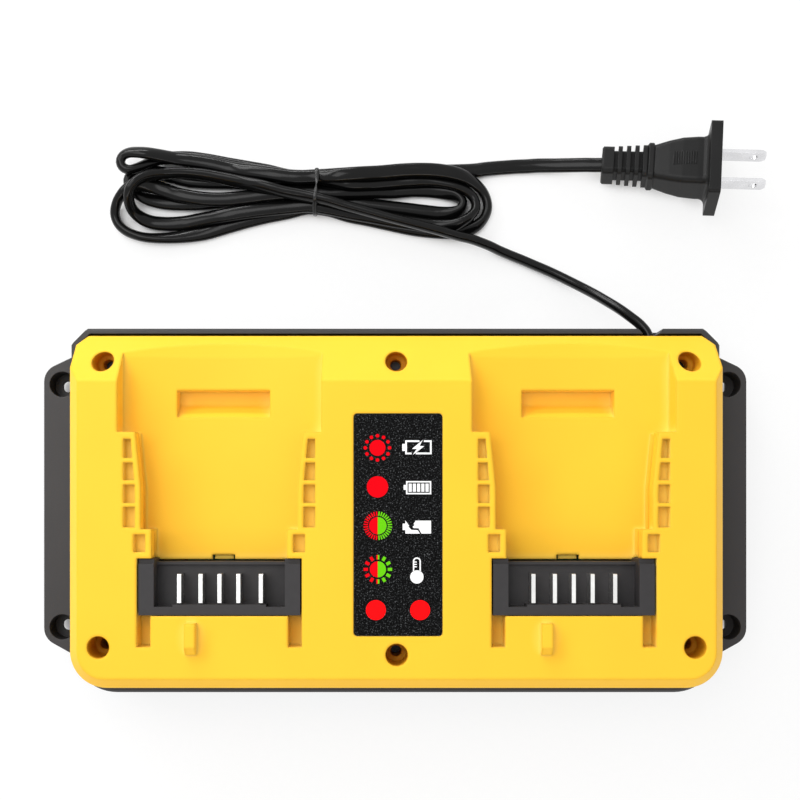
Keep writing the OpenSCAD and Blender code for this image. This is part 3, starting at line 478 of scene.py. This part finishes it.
class ChargerLooks(bpy.types.PropertyGroup):
    """Colours and sizes that change the look of the charger."""

    shell_colour: FloatVectorProperty(
        name="Shell", description="Colour of the moulded top shell", subtype="COLOR", size=4,
        default=linear("#FFC637"), min=0, max=1,
    )
    tray_colour: FloatVectorProperty(
        name="Tray", description="Colour of the base tray", subtype="COLOR", size=4,
        default=linear("#292728"), min=0, max=1,
    )
    block_colour: FloatVectorProperty(
        name="Contact blocks", description="Colour of the blocks that hold the contacts", subtype="COLOR",
        size=4, default=linear("#2D2B2C"), min=0, max=1,
    )
    cord_colour: FloatVectorProperty(
        name="Cord", description="Colour of the cord and the plug", subtype="COLOR", size=4,
        default=linear("#0B0B0B"), min=0, max=1,
    )
    panel_colour: FloatVectorProperty(
        name="Panel", description="Colour of the indicator panel's film", subtype="COLOR", size=4,
        default=linear("#050505"), min=0, max=1,
    )
    lamp_colour: FloatVectorProperty(
        name="Lamp windows", description="Colour of the two lamp windows", subtype="COLOR", size=4,
        default=linear("#FF0A10"), min=0, max=1,
    )
    cord_width: FloatProperty(
        name="Cord width", description="Width of the flat cord", default=5.8 * MM, min=5 * MM, max=6.2 * MM,
        unit="LENGTH", precision=4,
    )
    cord_thickness: FloatProperty(
        name="Cord thickness", description="Thickness of the flat cord", default=3.9 * MM, min=3 * MM,
        max=4.2 * MM, unit="LENGTH", precision=4,
    )
    grain_size: FloatProperty(
        name="Moulded grain", description="Size of the grain in the shell's surface", default=0.5 * MM,
        min=0.1 * MM, max=2 * MM, unit="LENGTH", precision=4,
    )
    full_rays: IntProperty(
        name="Fast-flash rays", description="Rays round the lamp sign that flashes fast", default=32, min=8,
        max=48,
    )
    camera_height: FloatProperty(
        name="Camera height", description="Height of the camera above the surface", default=0.532, min=0.2,
        max=3, unit="LENGTH",
    )
    key_power: FloatProperty(
        name="Key lamp", description="Power of the main soft lamp", default=5.0, min=0, max=200, unit="POWER",
    )
    rear_power: FloatProperty(
        name="Rear lamp", description="Power of the low strip lamp that draws lines on the cord", default=3.6,
        min=0, max=200, unit="POWER",
    )
    back_power: FloatProperty(
        name="Back lamp", description="Power of the lamp behind and left, for the back slope", default=5.5,
        min=0, max=200, unit="POWER",
    )
    front_power: FloatProperty(
        name="Front lamp", description="Power of the small lamp at the front", default=1.8, min=0, max=200,
        unit="POWER",
    )
    sky_strength: FloatProperty(
        name="Room light", description="Strength of the even light from all round", default=0.67, min=0,
        max=2,
    )


def looks():
    """The settings of the open scene."""
    return bpy.context.scene.charger_looks


# ---- operators ----


class CHARGER_OT_camera(bpy.types.Operator):
    """Camera straight above the charger"""

    bl_idname = "charger.camera"
    bl_label = "Camera"

    def execute(self, context):
        lens = bpy.data.cameras.new("overhead_camera")
        lens.sensor_width = 36
        lens.lens = 57.6
        # the charger stands left of the middle and low in the picture, with its cord above it
        lens.shift_x = 0.0375
        lens.shift_y = 0.138
        lens.clip_start = 0.01
        made = bpy.data.objects.new("overhead_camera", lens)
        made.location = (-10 * MM, 0, looks().camera_height)
        context.scene.collection.objects.link(made)
        context.scene.camera = made
        return {"FINISHED"}


class CHARGER_OT_cord(bpy.types.Operator):
    """Flat mains cord in one run: out of the tray, eight strands of the hank, and on to the plug"""

    bl_idname = "charger.cord"
    bl_label = "Mains cord"

    def execute(self, context):
        look = looks()
        route = LEAD_ROUTE + HANK_ROUTE + TAIL_ROUTE
        line, length = smooth_line([(x * MM, y * MM, z * MM, turn) for x, y, z, turn in route], CORD_STEP)
        section = oblong(look.cord_width, look.cord_thickness)
        vertices, faces = swept([p.xyz for p in line], section, [p.w for p in line])
        jacket = self.jacket(look.cord_colour)
        cord = piece("mains_cord", vertices, faces, [jacket], smooth=50)
        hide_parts("power_cord_lead", "power_cord_hank", "power_cord_tail")
        context.scene["cord_length"] = length
        return {"FINISHED"}

    def jacket(self, colour):
        """Extruded PVC: satin skin with faint drawing lines, dusty patches and a soft sheen."""
        made, tree, shader, place = material("extruded_pvc_jacket")
        slow = grain(tree, place, 14 * MM, 3.0)
        fine = grain(tree, place, 0.35 * MM, 3.0)
        skin = tinted(tree, slow, shade(colour, 0.8), shade(colour, 1.25))
        tree.links.new(skin, shader.inputs["Base Color"])
        tree.links.new(spread(tree, fine, 0.13, 0.2), shader.inputs["Roughness"])
        bump = add(tree, "ShaderNodeBump", Strength=0.5, Distance=0.03 * MM, Height=fine).outputs["Normal"]
        tree.links.new(bump, shader.inputs["Normal"])
        shader.inputs["IOR"].default_value = 1.53
        shader.inputs["Specular IOR Level"].default_value = 0.18
        return made


class CHARGER_OT_tie(bpy.types.Operator):
    """Twist tie pulled tight round the strands of the hank"""

    bl_idname = "charger.tie"
    bl_label = "Twist tie"

    STEPS = 72  # rings round the hank
    WIDTH, THICKNESS, SIDES = 1.5 * MM, 0.5 * MM, 12
    CLEAR = 0.3 * MM  # between the strands and the tie's middle
    REACH = 2 * MM  # of strands on either side that the tie is fitted to
    TWIST_AT, TWIST_SPREAD = 0.245, 0.035  # share of the way round where it is twisted, and over how much
    TWIST_TURN = math.radians(72)
    TWIST_LIFT = 0.5 * MM

    def execute(self, context):
        cord = bpy.data.objects["mains_cord"]
        near = [v.co for v in cord.data.vertices if abs(v.co.x - TIE_X) < self.REACH]
        outline = hull_outline([(round(p.y, 5), round(p.z, 5)) for p in near])
        middle = sum((Vector(p) for p in outline), Vector((0, 0))) / len(outline)
        steps = self.STEPS
        band = []
        for i in range(steps):
            out = Vector((math.cos(math.tau * i / steps), math.sin(math.tau * i / steps)))
            band.append(self.on_outline(middle, out, outline))
        vertices, faces = [], []
        section = oblong(self.WIDTH, self.THICKNESS, self.SIDES)
        n = len(section)
        for i, spot in enumerate(band):
            share = i / steps
            before, after = band[i - 1], band[(i + 1) % steps]
            along = (after - before).normalized()
            outward = Vector((along.y, -along.x))
            lean = 0.7 * MM * math.sin(math.tau * (share + 0.05)) + 0.35 * MM * math.sin(2 * math.tau * share)
            turn = self.TWIST_TURN * math.exp(-(((share - self.TWIST_AT) / self.TWIST_SPREAD) ** 2))
            for across, up in section:
                x = across * math.cos(turn) - up * math.sin(turn)
                lift = across * math.sin(turn) * 0.45 + up * math.cos(turn) + math.sin(turn) * self.TWIST_LIFT
                flat = spot + outward * (self.CLEAR + lift)
                vertices.append(Vector((TIE_X + lean + x, flat.x, max(FLOOR_GAP, flat.y))))
        for i in range(steps):
            j = (i + 1) % steps
            for k in range(n):
                m = (k + 1) % n
                faces.append((i * n + k, j * n + k, j * n + m, i * n + m))
        sleeve = moulding(
            "pvc_tie_sleeve", linear("#161616"), 0.25, 0.3 * MM, 0.01 * MM, 0.1 * MM, gloss=0.4
        )
        tie = piece("twist_tie", vertices, faces, [sleeve], smooth=60)
        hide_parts("hank_tie")
        return {"FINISHED"}

    def on_outline(self, middle, out, outline):
        """Where a ray from the middle meets the outline."""
        best = None
        for a, b in zip(outline, outline[1:] + outline[:1]):
            a, b = Vector(a) - middle, Vector(b) - middle
            edge = b - a
            cross = out.x * edge.y - out.y * edge.x
            if abs(cross) < 1e-12:
                continue
            reach = (a.x * edge.y - a.y * edge.x) / cross
            share = (a.x * out.y - a.y * out.x) / cross
            if reach > 0 and -1e-6 <= share <= 1 + 1e-6 and (best is None or reach > best):
                best = reach
        if best is None:
            raise RuntimeError("the tie finds no outline of the strands")
        return middle + out * best


class CHARGER_OT_plug(bpy.types.Operator):
    """Finishes of the moulded plug and its blades"""

    bl_idname = "charger.plug"
    bl_label = "Plug"

    def execute(self, context):
        look = looks()
        # the plug's grooves are painted near black where walls stand near: a painted shade
        finish(["plug_body"], moulding(
            "moulded_pvc_plug", shade(look.cord_colour, 3), 0.36, 0.4 * MM, 0.008 * MM, 0.5 * MM, tone=0.1,
            gloss=0.15, painted_recess_light_shade=shade(look.cord_colour, 0.2),
        ))
        finish(["plug_blade_1", "plug_blade_2"], metal(
            "stamped_nickel_blade", linear("#E2E2E4"), 0.25, 0.25 * MM, 0.002 * MM, (0.15, 1, 1), 0.2 * MM
        ))
        return {"FINISHED"}

    def centres(self):
        """Middle of each ring of the cord's tube, read from its own mesh."""
        cord = bpy.data.objects["mains_cord"]
        n = len(oblong(1, 1))
        points = [v.co for v in cord.data.vertices]
        return [sum(points[i : i + n], Vector()) / n for i in range(0, len(points), n)]


class CHARGER_OT_housing(bpy.types.Operator):
    """Finishes of the top shell, the tray, the feet and the screws"""

    bl_idname = "charger.housing"
    bl_label = "Housing"

    def execute(self, context):
        look = looks()
        # ABS: even satin yellow with a fine spark-eroded grain and softly rounded edges; a paler yellow is
        # painted into its recesses as painted light, and a darker amber into its screw wells as painted shade
        finish(["top_shell"], moulding(
            "spark_grained_abs_shell", look.shell_colour, 0.36, look.grain_size, 0.01 * MM, 1.8 * MM,
            tone=0.02, patch=40 * MM, gloss=0.08, painted_recess_light_shade=linear("#FFE170"), painted_well_shade=linear("#D89C20"),
        ))
        # polypropylene: charcoal, duller than the shell, with a coarser grain
        finish(["base_shell"], moulding(
            "grained_polypropylene_tray", look.tray_colour, 0.5, 0.7 * MM, 0.03 * MM, 0.5 * MM, tone=0.06,
            gloss=0.4,
        ))
        finish(["foot_front_left", "foot_front_right", "foot_back_left", "foot_back_right"], moulding(
            "die_cut_rubber_foot", linear("#1C1C1C"), 0.75, 0.25 * MM, 0.04 * MM, 0.3 * MM, tone=0.1,
            gloss=0.2,
        ))
        finish(["cord_gland"], moulding(
            "moulded_rubber_gland", linear("#232323"), 0.6, 0.3 * MM, 0.02 * MM, 0.3 * MM, tone=0.08,
            gloss=0.3,
        ))
        finish(["housing_screws"], metal(
            "black_oxide_screw", linear("#3B3B3D"), 0.42, 0.3 * MM, 0.006 * MM
        ))
        return {"FINISHED"}


class CHARGER_OT_contacts(bpy.types.Operator):
    """Finishes of the contact blocks and their blades"""

    bl_idname = "charger.contacts"
    bl_label = "Contacts"

    def execute(self, context):
        # glass-filled nylon: dark grey, matte, with a faint fibre mottle
        finish(["terminal_block_left", "terminal_block_right"], moulding(
            "glass_filled_nylon_block", looks().block_colour, 0.55, 0.3 * MM, 0.012 * MM, 0.3 * MM, tone=0.07,
            patch=3 * MM, gloss=0.32,
        ))
        blades = [f"terminal_blade_{side}_{n}" for side in ("left", "right") for n in range(1, 6)]
        # bright nickel plate: nearly white, with faint stamping lines along the blade
        finish(blades, metal(
            "nickel_plated_contact", linear("#F4F4F2"), 0.22, 0.2 * MM, 0.003 * MM, (1, 0.2, 1)
        ))
        return {"FINISHED"}


class CHARGER_OT_panel(bpy.types.Operator):
    """Film of the indicator panel and the two lamp windows"""

    bl_idname = "charger.panel"
    bl_label = "Indicator panel"

    def execute(self, context):
        look = looks()
        finish(["label_panel"], self.film(look.panel_colour))
        finish(["indicator_window_left", "indicator_window_right"], self.lens(look.lamp_colour))
        return {"FINISHED"}

    def film(self, colour):
        """Textured polycarbonate film: black, with a leathery crinkle whose raised grain is painted light
        grey in specks, a painted glint.
        """
        made, tree, shader, place = material("crinkled_polycarbonate_film")
        bend = add(
            tree, "ShaderNodeTexNoise", Vector=place, Scale=1 / (1.5 * MM), Detail=1.0
        ).outputs["Color"]
        warped = add(
            tree, "ShaderNodeVectorMath", {"operation": "MULTIPLY_ADD"}, i0=bend, i1=(0.6 * MM,) * 3, i2=place
        ).outputs["Vector"]
        crinkle = add(
            tree, "ShaderNodeTexNoise", Vector=warped, Scale=1 / (0.55 * MM), Detail=3.0, Roughness=0.7
        ).outputs["Fac"]
        painted_glint_specks = ramp(tree, crinkle, [
            (0.49, colour), (0.59, linear("#1C1D1E")), (0.7, linear("#707274"))
        ])
        tree.links.new(painted_glint_specks.outputs["Color"], shader.inputs["Base Color"])
        bump = add(tree, "ShaderNodeBump", Strength=1.0, Distance=0.06 * MM, Height=crinkle).outputs["Normal"]
        tree.links.new(bump, shader.inputs["Normal"])
        tree.links.new(spread(tree, crinkle, 0.45, 0.3), shader.inputs["Roughness"])
        shader.inputs["Specular IOR Level"].default_value = 0.03
        shader.inputs["IOR"].default_value = 1.58
        return made

    def lens(self, colour):
        """Tinted acrylic lamp window: clear red, glossy, faintly lit from within."""
        made, tree, shader, place = material("red_acrylic_lens")
        slow = grain(tree, place, 2.5 * MM, 1.0)
        skin = tinted(tree, slow, shade(colour, 0.97), shade(colour, 1.0))
        tree.links.new(skin, shader.inputs["Base Color"])
        shader.inputs["Roughness"].default_value = 0.25
        shader.inputs["IOR"].default_value = 1.49
        shader.inputs["Specular IOR Level"].default_value = 0.06
        shader.inputs["Emission Color"].default_value = colour
        shader.inputs["Emission Strength"].default_value = 0.12
        return made


def ink(name, colour):
    """Screen-printing ink: flat and matte, with a trace of the film's crinkle showing through."""
    made, tree, shader, place = material(name)
    fine = grain(tree, place, 0.5 * MM, 2.0)
    tree.links.new(tinted(tree, fine, shade(colour, 0.93), shade(colour, 1.03)), shader.inputs["Base Color"])
    bump = add(tree, "ShaderNodeBump", Strength=0.4, Distance=0.02 * MM, Height=fine).outputs["Normal"]
    tree.links.new(bump, shader.inputs["Normal"])
    shader.inputs["Roughness"].default_value = 0.6
    shader.inputs["Specular IOR Level"].default_value = 0.05
    return made


RED, GREEN, WHITE = 0, 1, 2  # places of the inks in a sign's list of materials


class CHARGER_OT_print(bpy.types.Operator):
    """Signs printed on the panel: four lamp states and what each means"""

    bl_idname = "charger.print"
    bl_label = "Panel print"

    def execute(self, context):
        inks = [
            ink("red_panel_ink", linear("#E80012")),
            ink("green_panel_ink", linear("#69CC12")),
            ink("white_panel_ink", linear("#FBFBFB")),
        ]
        for make in (self.charging, self.charged, self.fault, self.too_hot):
            make(inks)
        return {"FINISHED"}

    def charging(self, inks):
        """Flashing lamp beside a battery with a bolt."""
        sign = Print()
        centre = (-7.2, 23.46)
        sign.sector(centre, 3.0, 0, 360, RED)
        for i in range(12):
            angle = math.radians(30 * i)
            spot = (centre[0] + 4.55 * math.cos(angle), centre[1] + 4.55 * math.sin(angle))
            sign.shape([
                (spot[0] + 0.72 * math.cos(angle + a), spot[1] + 0.72 * math.sin(angle + a))
                for a in (math.tau * k / 8 + math.pi / 8 for k in range(8))
            ], RED)
        sign.make("sign_lamp_flashing", inks)
        sign = Print()
        sign.rectangle(3.2, 25.65, 8.55, 26.3, WHITE)
        sign.rectangle(10.2, 25.65, 13.13, 26.3, WHITE)
        sign.rectangle(3.2, 21.04, 5.6, 21.7, WHITE)
        sign.rectangle(7.15, 21.04, 13.13, 21.7, WHITE)
        sign.rectangle(3.2, 21.7, 3.85, 25.65, WHITE)
        sign.rectangle(12.48, 21.7, 13.13, 25.65, WHITE)
        sign.rectangle(2.08, 22.3, 3.2, 24.95, WHITE)
        sign.shape(
            [(9.85, 26.5), (5.72, 23.05), (7.55, 23.05), (5.95, 20.75), (10.4, 24.1), (8.6, 24.2)], WHITE
        )
        sign.make("sign_battery_charging", inks)

    def charged(self, inks):
        """Steady lamp beside a full battery."""
        sign = Print()
        sign.sector((-7.2, 8.83), 4.02, 0, 360, RED)
        sign.make("sign_lamp_steady", inks)
        sign = Print()
        sign.rectangle(3.51, 10.48, 12.96, 11.0, WHITE)
        sign.rectangle(3.51, 6.05, 12.96, 6.57, WHITE)
        sign.rectangle(3.51, 6.57, 4.07, 10.48, WHITE)
        sign.rectangle(12.4, 6.57, 12.96, 10.48, WHITE)
        sign.rectangle(2.6, 7.72, 3.51, 9.56, WHITE)
        for i in range(5):
            left = 4.5 + 1.58 * i
            sign.rectangle(left, 7.0, left + 1.15, 10.05, WHITE)
        sign.make("sign_battery_full", inks)

    def fault(self, inks):
        """Lamp that flashes fast in two colours beside a cracked battery."""
        sign = Print()
        centre = (-7.07, -5.74)
        sign.sector(centre, 3.28, 90, 270, RED)
        sign.sector(centre, 3.28, -90, 90, GREEN)
        rays = looks().full_rays
        for i in range(rays):
            angle = 360 * (i + 0.5) / rays
            sign.ray(centre, 3.72, 5.36, 0.25, angle, GREEN if math.cos(math.radians(angle)) > 0 else RED)
        sign.make("sign_lamp_fast", inks)
        sign = Print()
        sign.shape([
            (3.25, -3.77), (4.75, -5.85), (4.35, -6.05), (5.6, -7.3), (7.9, -7.4), (8.75, -8.7), (3.25, -8.7),
            (3.25, -7.35), (2.25, -7.35), (2.25, -4.95), (3.25, -4.95),
        ], WHITE)
        sign.shape([
            (7.15, -3.83), (12.9, -3.83), (12.9, -8.7), (9.3, -8.7), (8.2, -6.7), (6.4, -6.62), (5.95, -6.2),
            (6.7, -5.5), (6.35, -5.05),
        ], WHITE)
        sign.make("sign_battery_cracked", inks)

    def too_hot(self, inks):
        """Lamp that flashes slowly in two colours beside a thermometer."""
        sign = Print()
        centre = (-7.06, -22.1)
        sign.sector(centre, 3.03, 90, 270, RED)
        sign.sector(centre, 3.03, -90, 90, GREEN)
        for i in range(12):
            angle = 30 * i
            if i % 6 == 3:
                top = i == 3
                sign.ray(centre, 3.7, 5.4, 0.58, angle, RED, -1 if top else 1)
                sign.ray(centre, 3.7, 5.4, 0.58, angle, GREEN, 1 if top else -1)
            else:
                sign.ray(centre, 3.7, 5.35, 0.58, angle, GREEN if i < 3 or i > 9 else RED)
        sign.make("sign_lamp_slow", inks)
        sign = Print()
        bulb, stem_x, stem_r, bore_r, stem_top, steps = (7.57, -24.95), 7.58, 1.49, 0.98, -19.1, 12
        sign.sector(bulb, 2.5, 0, 360, WHITE)
        sign.rectangle(stem_x - stem_r, -22.95, stem_x - bore_r, stem_top, WHITE)
        sign.rectangle(stem_x + bore_r, -22.95, stem_x + stem_r, stem_top, WHITE)
        arch, inner = (
            [
                (stem_x + r * math.cos(math.pi * k / steps), stem_top + r * math.sin(math.pi * k / steps))
                for k in range(steps + 1)
            ]
            for r in (stem_r, bore_r)
        )
        for k in range(steps):
            sign.shape([arch[k], arch[k + 1], inner[k + 1], inner[k]], WHITE)
        for y in (-19.35, -20.25, -21.15):
            sign.rectangle(stem_x - bore_r, y - 0.2, stem_x - 0.05, y + 0.2, WHITE)
        sign.make("sign_thermometer", inks)


class CHARGER_OT_inside(bpy.types.Operator):
    """Finishes of the boards, windings, cans, wires and screws inside the housing"""

    bl_idname = "charger.inside"
    bl_label = "Inside"

    def execute(self, context):
        finish(["main_board", "indicator_board"], self.laminate())
        finish(["transformer_core"], moulding(
            "sintered_ferrite_core", linear("#2B2C2E"), 0.55, 0.15 * MM, 0.01 * MM, 0.3 * MM, tone=0.15,
            patch=2 * MM,
        ))
        finish(["transformer_coil"], moulding(
            "polyester_winding_tape", linear("#E3B52C"), 0.25, 4 * MM, 0.05 * MM, 0.3 * MM, tone=0.08,
            patch=5 * MM,
        ))
        finish(["line_choke"], self.winding())
        finish(["mains_capacitor", "output_capacitor_left", "output_capacitor_right"], moulding(
            "shrunk_pvc_sleeve", linear("#1D2B52"), 0.22, 6 * MM, 0.03 * MM, 0.4 * MM, tone=0.1
        ))
        finish(["heat_sink_left", "heat_sink_right"], metal(
            "extruded_aluminium", linear("#C4C6C9"), 0.38, 0.4 * MM, 0.01 * MM, (1, 1, 0.05)
        ))
        finish(["power_transistors", "bridge_rectifier"], moulding(
            "epoxy_chip_body", linear("#1E1E20"), 0.5, 0.2 * MM, 0.01 * MM, 0.2 * MM, tone=0.1, patch=4 * MM
        ))
        finish(["fuse"], moulding(
            "fuse_tube_glass", linear("#C9D3D6"), 0.08, 3 * MM, 0.002 * MM, 0.2 * MM, tone=0.05, patch=6 * MM
        ))
        finish(["mains_connector", "indicator_led_left", "indicator_led_right"], moulding(
            "natural_nylon_body", linear("#EFEDE4"), 0.35, 0.5 * MM, 0.01 * MM, 0.2 * MM, tone=0.03
        ))
        finish(["mains_wires", "terminal_wires_left", "terminal_wires_right"], moulding(
            "silicone_wire_insulation", linear("#A01818"), 0.4, 0.5 * MM, 0.01 * MM, 0.1 * MM, tone=0.1,
            patch=6 * MM,
        ))
        finish(["cord_clamp"], moulding(
            "nylon_cord_clamp", linear("#202022"), 0.5, 0.4 * MM, 0.02 * MM, 0.3 * MM, tone=0.08
        ))
        finish(["board_screws", "clamp_screws"], metal(
            "zinc_plated_screw", linear("#B9BCC0"), 0.3, 0.2 * MM, 0.004 * MM
        ))
        return {"FINISHED"}

    def laminate(self):
        """Glass-epoxy board: green mask over straight copper tracks."""
        made, tree, shader, place = material("green_masked_laminate")
        cells = add(
            tree, "ShaderNodeTexVoronoi", {"distance": "MANHATTAN"}, Vector=place, Scale=1 / (6 * MM)
        ).outputs["Distance"]
        tracks = ramp(tree, cells, [(0.35, linear("#0B5A34")), (0.42, linear("#1B8A50"))], "CONSTANT")
        tree.links.new(tracks.outputs["Color"], shader.inputs["Base Color"])
        bump = add(tree, "ShaderNodeBump", Strength=0.4, Distance=0.03 * MM, Height=tracks.outputs["Color"])
        tree.links.new(bump.outputs["Normal"], shader.inputs["Normal"])
        tree.links.new(spread(tree, grain(tree, place, 1 * MM), 0.25, 0.4), shader.inputs["Roughness"])
        return made

    def winding(self):
        """Enamelled copper wire wound round a ring; the grooves between its turns are painted dark brown, a
        painted shade.
        """
        made, tree, shader, place = material("enamelled_copper_winding")
        turns = add(
            tree, "ShaderNodeTexWave", {"wave_type": "BANDS", "bands_direction": "DIAGONAL"}, Vector=place,
            Scale=1 / (3 * MM), Distortion=0.4,
        ).outputs["Fac"]
        tree.links.new(
            ramp(tree, turns, [(0.2, linear("#5B2A12")), (0.8, linear("#C8692C"))]).outputs["Color"],
            shader.inputs["Base Color"],
        )
        bump = add(tree, "ShaderNodeBump", Strength=0.8, Distance=0.3 * MM, Height=turns).outputs["Normal"]
        tree.links.new(bump, shader.inputs["Normal"])
        tree.links.new(spread(tree, grain(tree, place, 1 * MM), 0.22, 0.34), shader.inputs["Roughness"])
        shader.inputs["Metallic"].default_value = 0.6
        return made


class CHARGER_OT_stage(bpy.types.Operator):
    """Pale floor, soft lamps and even room light"""

    bl_idname = "charger.stage"
    bl_label = "Studio"

    def execute(self, context):
        scene = context.scene
        scene.view_settings.view_transform = "Standard"
        look = looks()
        half = 4.0
        mesh = bpy.data.meshes.new("studio_floor")
        corners = [(-half, -half, 0), (half, -half, 0), (half, half, 0), (-half, half, 0)]
        mesh.from_pydata(corners, [], [(0, 1, 2, 3)])
        floor = bpy.data.objects.new("studio_floor", mesh)
        scene.collection.objects.link(floor)
        mesh.materials.append(self.paper())
        self.room(scene, look.sky_strength)
        self.lamp("key_lamp", (-0.4, 0.3, 1.2), (0.8, 0.6), look.key_power)
        self.lamp("rear_lamp", (-0.33, 0.95, 0.3), (0.72, 0.09), look.rear_power)
        self.lamp("back_lamp", (-0.72, 0.72, 0.68), (1.0, 0.2), look.back_power)
        self.lamp("front_lamp", (0.1, -0.95, 0.6), (1.1, 0.12), look.front_power)
        return {"FINISHED"}

    def paper(self):
        """White studio paper, lifted to white for the eye, which keeps a soft shadow."""
        made, tree, shader, place = material("white_studio_paper")
        fibre = grain(tree, place, 3 * MM, 3.0)
        tree.links.new(tinted(tree, fibre, linear("#F6F6F6"), linear("#FAFAFA")), shader.inputs["Base Color"])
        shader.inputs["Roughness"].default_value = 0.9
        shader.inputs["Specular IOR Level"].default_value = 0.1
        # the white lift fades by ambient occlusion where the charger stands near: a painted shade over the
        # paper's real soft shadow
        lift = spread(tree, openness(tree, SHADOW_REACH), 0.0, 0.8)
        share = add(tree, "ShaderNodeMath", {"operation": "MULTIPLY"}, i0=seen_directly(tree), i1=lift)
        white = add(tree, "ShaderNodeEmission", Strength=1.0)
        mixed = add(
            tree, "ShaderNodeMixShader", i0=share.outputs[0], i1=shader.outputs["BSDF"],
            i2=white.outputs["Emission"],
        )
        tree.links.new(mixed.outputs["Shader"], tree.nodes["Material Output"].inputs["Surface"])
        return made

    def room(self, scene, strength):
        """Even light from all round, which itself shows as white."""
        world = bpy.data.worlds.new("studio_room")
        world.use_nodes = True
        tree = world.node_tree
        level = add(
            tree, "ShaderNodeMapRange", Value=seen_directly(tree), From_Min=0.0, From_Max=1.0,
            To_Min=strength, To_Max=1.0,
        )
        background = tree.nodes["Background"]
        background.inputs["Color"].default_value = (1, 1, 1, 1)
        tree.links.new(level.outputs["Result"], background.inputs["Strength"])
        scene.world = world

    def lamp(self, name, place, size, power):
        """A rectangular lamp that faces the middle of the charger."""
        light = bpy.data.lights.new(name, "AREA")
        light.shape = "RECTANGLE"
        light.size, light.size_y = size
        light.energy = power
        made = bpy.data.objects.new(name, light)
        made.location = place
        made.rotation_euler = (-Vector(place)).to_track_quat("-Z", "Y").to_euler()
        bpy.context.scene.collection.objects.link(made)


class CHARGER_PT_panel(bpy.types.Panel):
    """Sidebar panel with the settings and the making steps"""

    bl_idname = "CHARGER_PT_panel"
    bl_label = "Charger"
    bl_space_type = "VIEW_3D"
    bl_region_type = "UI"
    bl_category = "Charger"

    def draw(self, context):
        look = looks()
        column = self.layout.column()
        for name in ChargerLooks.__annotations__:
            column.prop(look, name)
        for step in STEPS:
            column.operator(step.bl_idname)


STEPS = (
    CHARGER_OT_camera,
    CHARGER_OT_cord,
    CHARGER_OT_tie,
    CHARGER_OT_plug,
    CHARGER_OT_housing,
    CHARGER_OT_contacts,
    CHARGER_OT_panel,
    CHARGER_OT_print,
    CHARGER_OT_inside,
    CHARGER_OT_stage,
)
CLASSES = (ChargerLooks, *STEPS, CHARGER_PT_panel)


def register():
    for made in CLASSES:
        bpy.utils.register_class(made)
    bpy.types.Scene.charger_looks = PointerProperty(type=ChargerLooks)


def unregister():
    del bpy.types.Scene.charger_looks
    for made in reversed(CLASSES):
        bpy.utils.unregister_class(made)


def main():
    """Makes everything in order."""
    register()
    for step in STEPS:
        group, name = step.bl_idname.split(".")
        getattr(getattr(bpy.ops, group), name)()


if __name__ == "__main__":
    main()
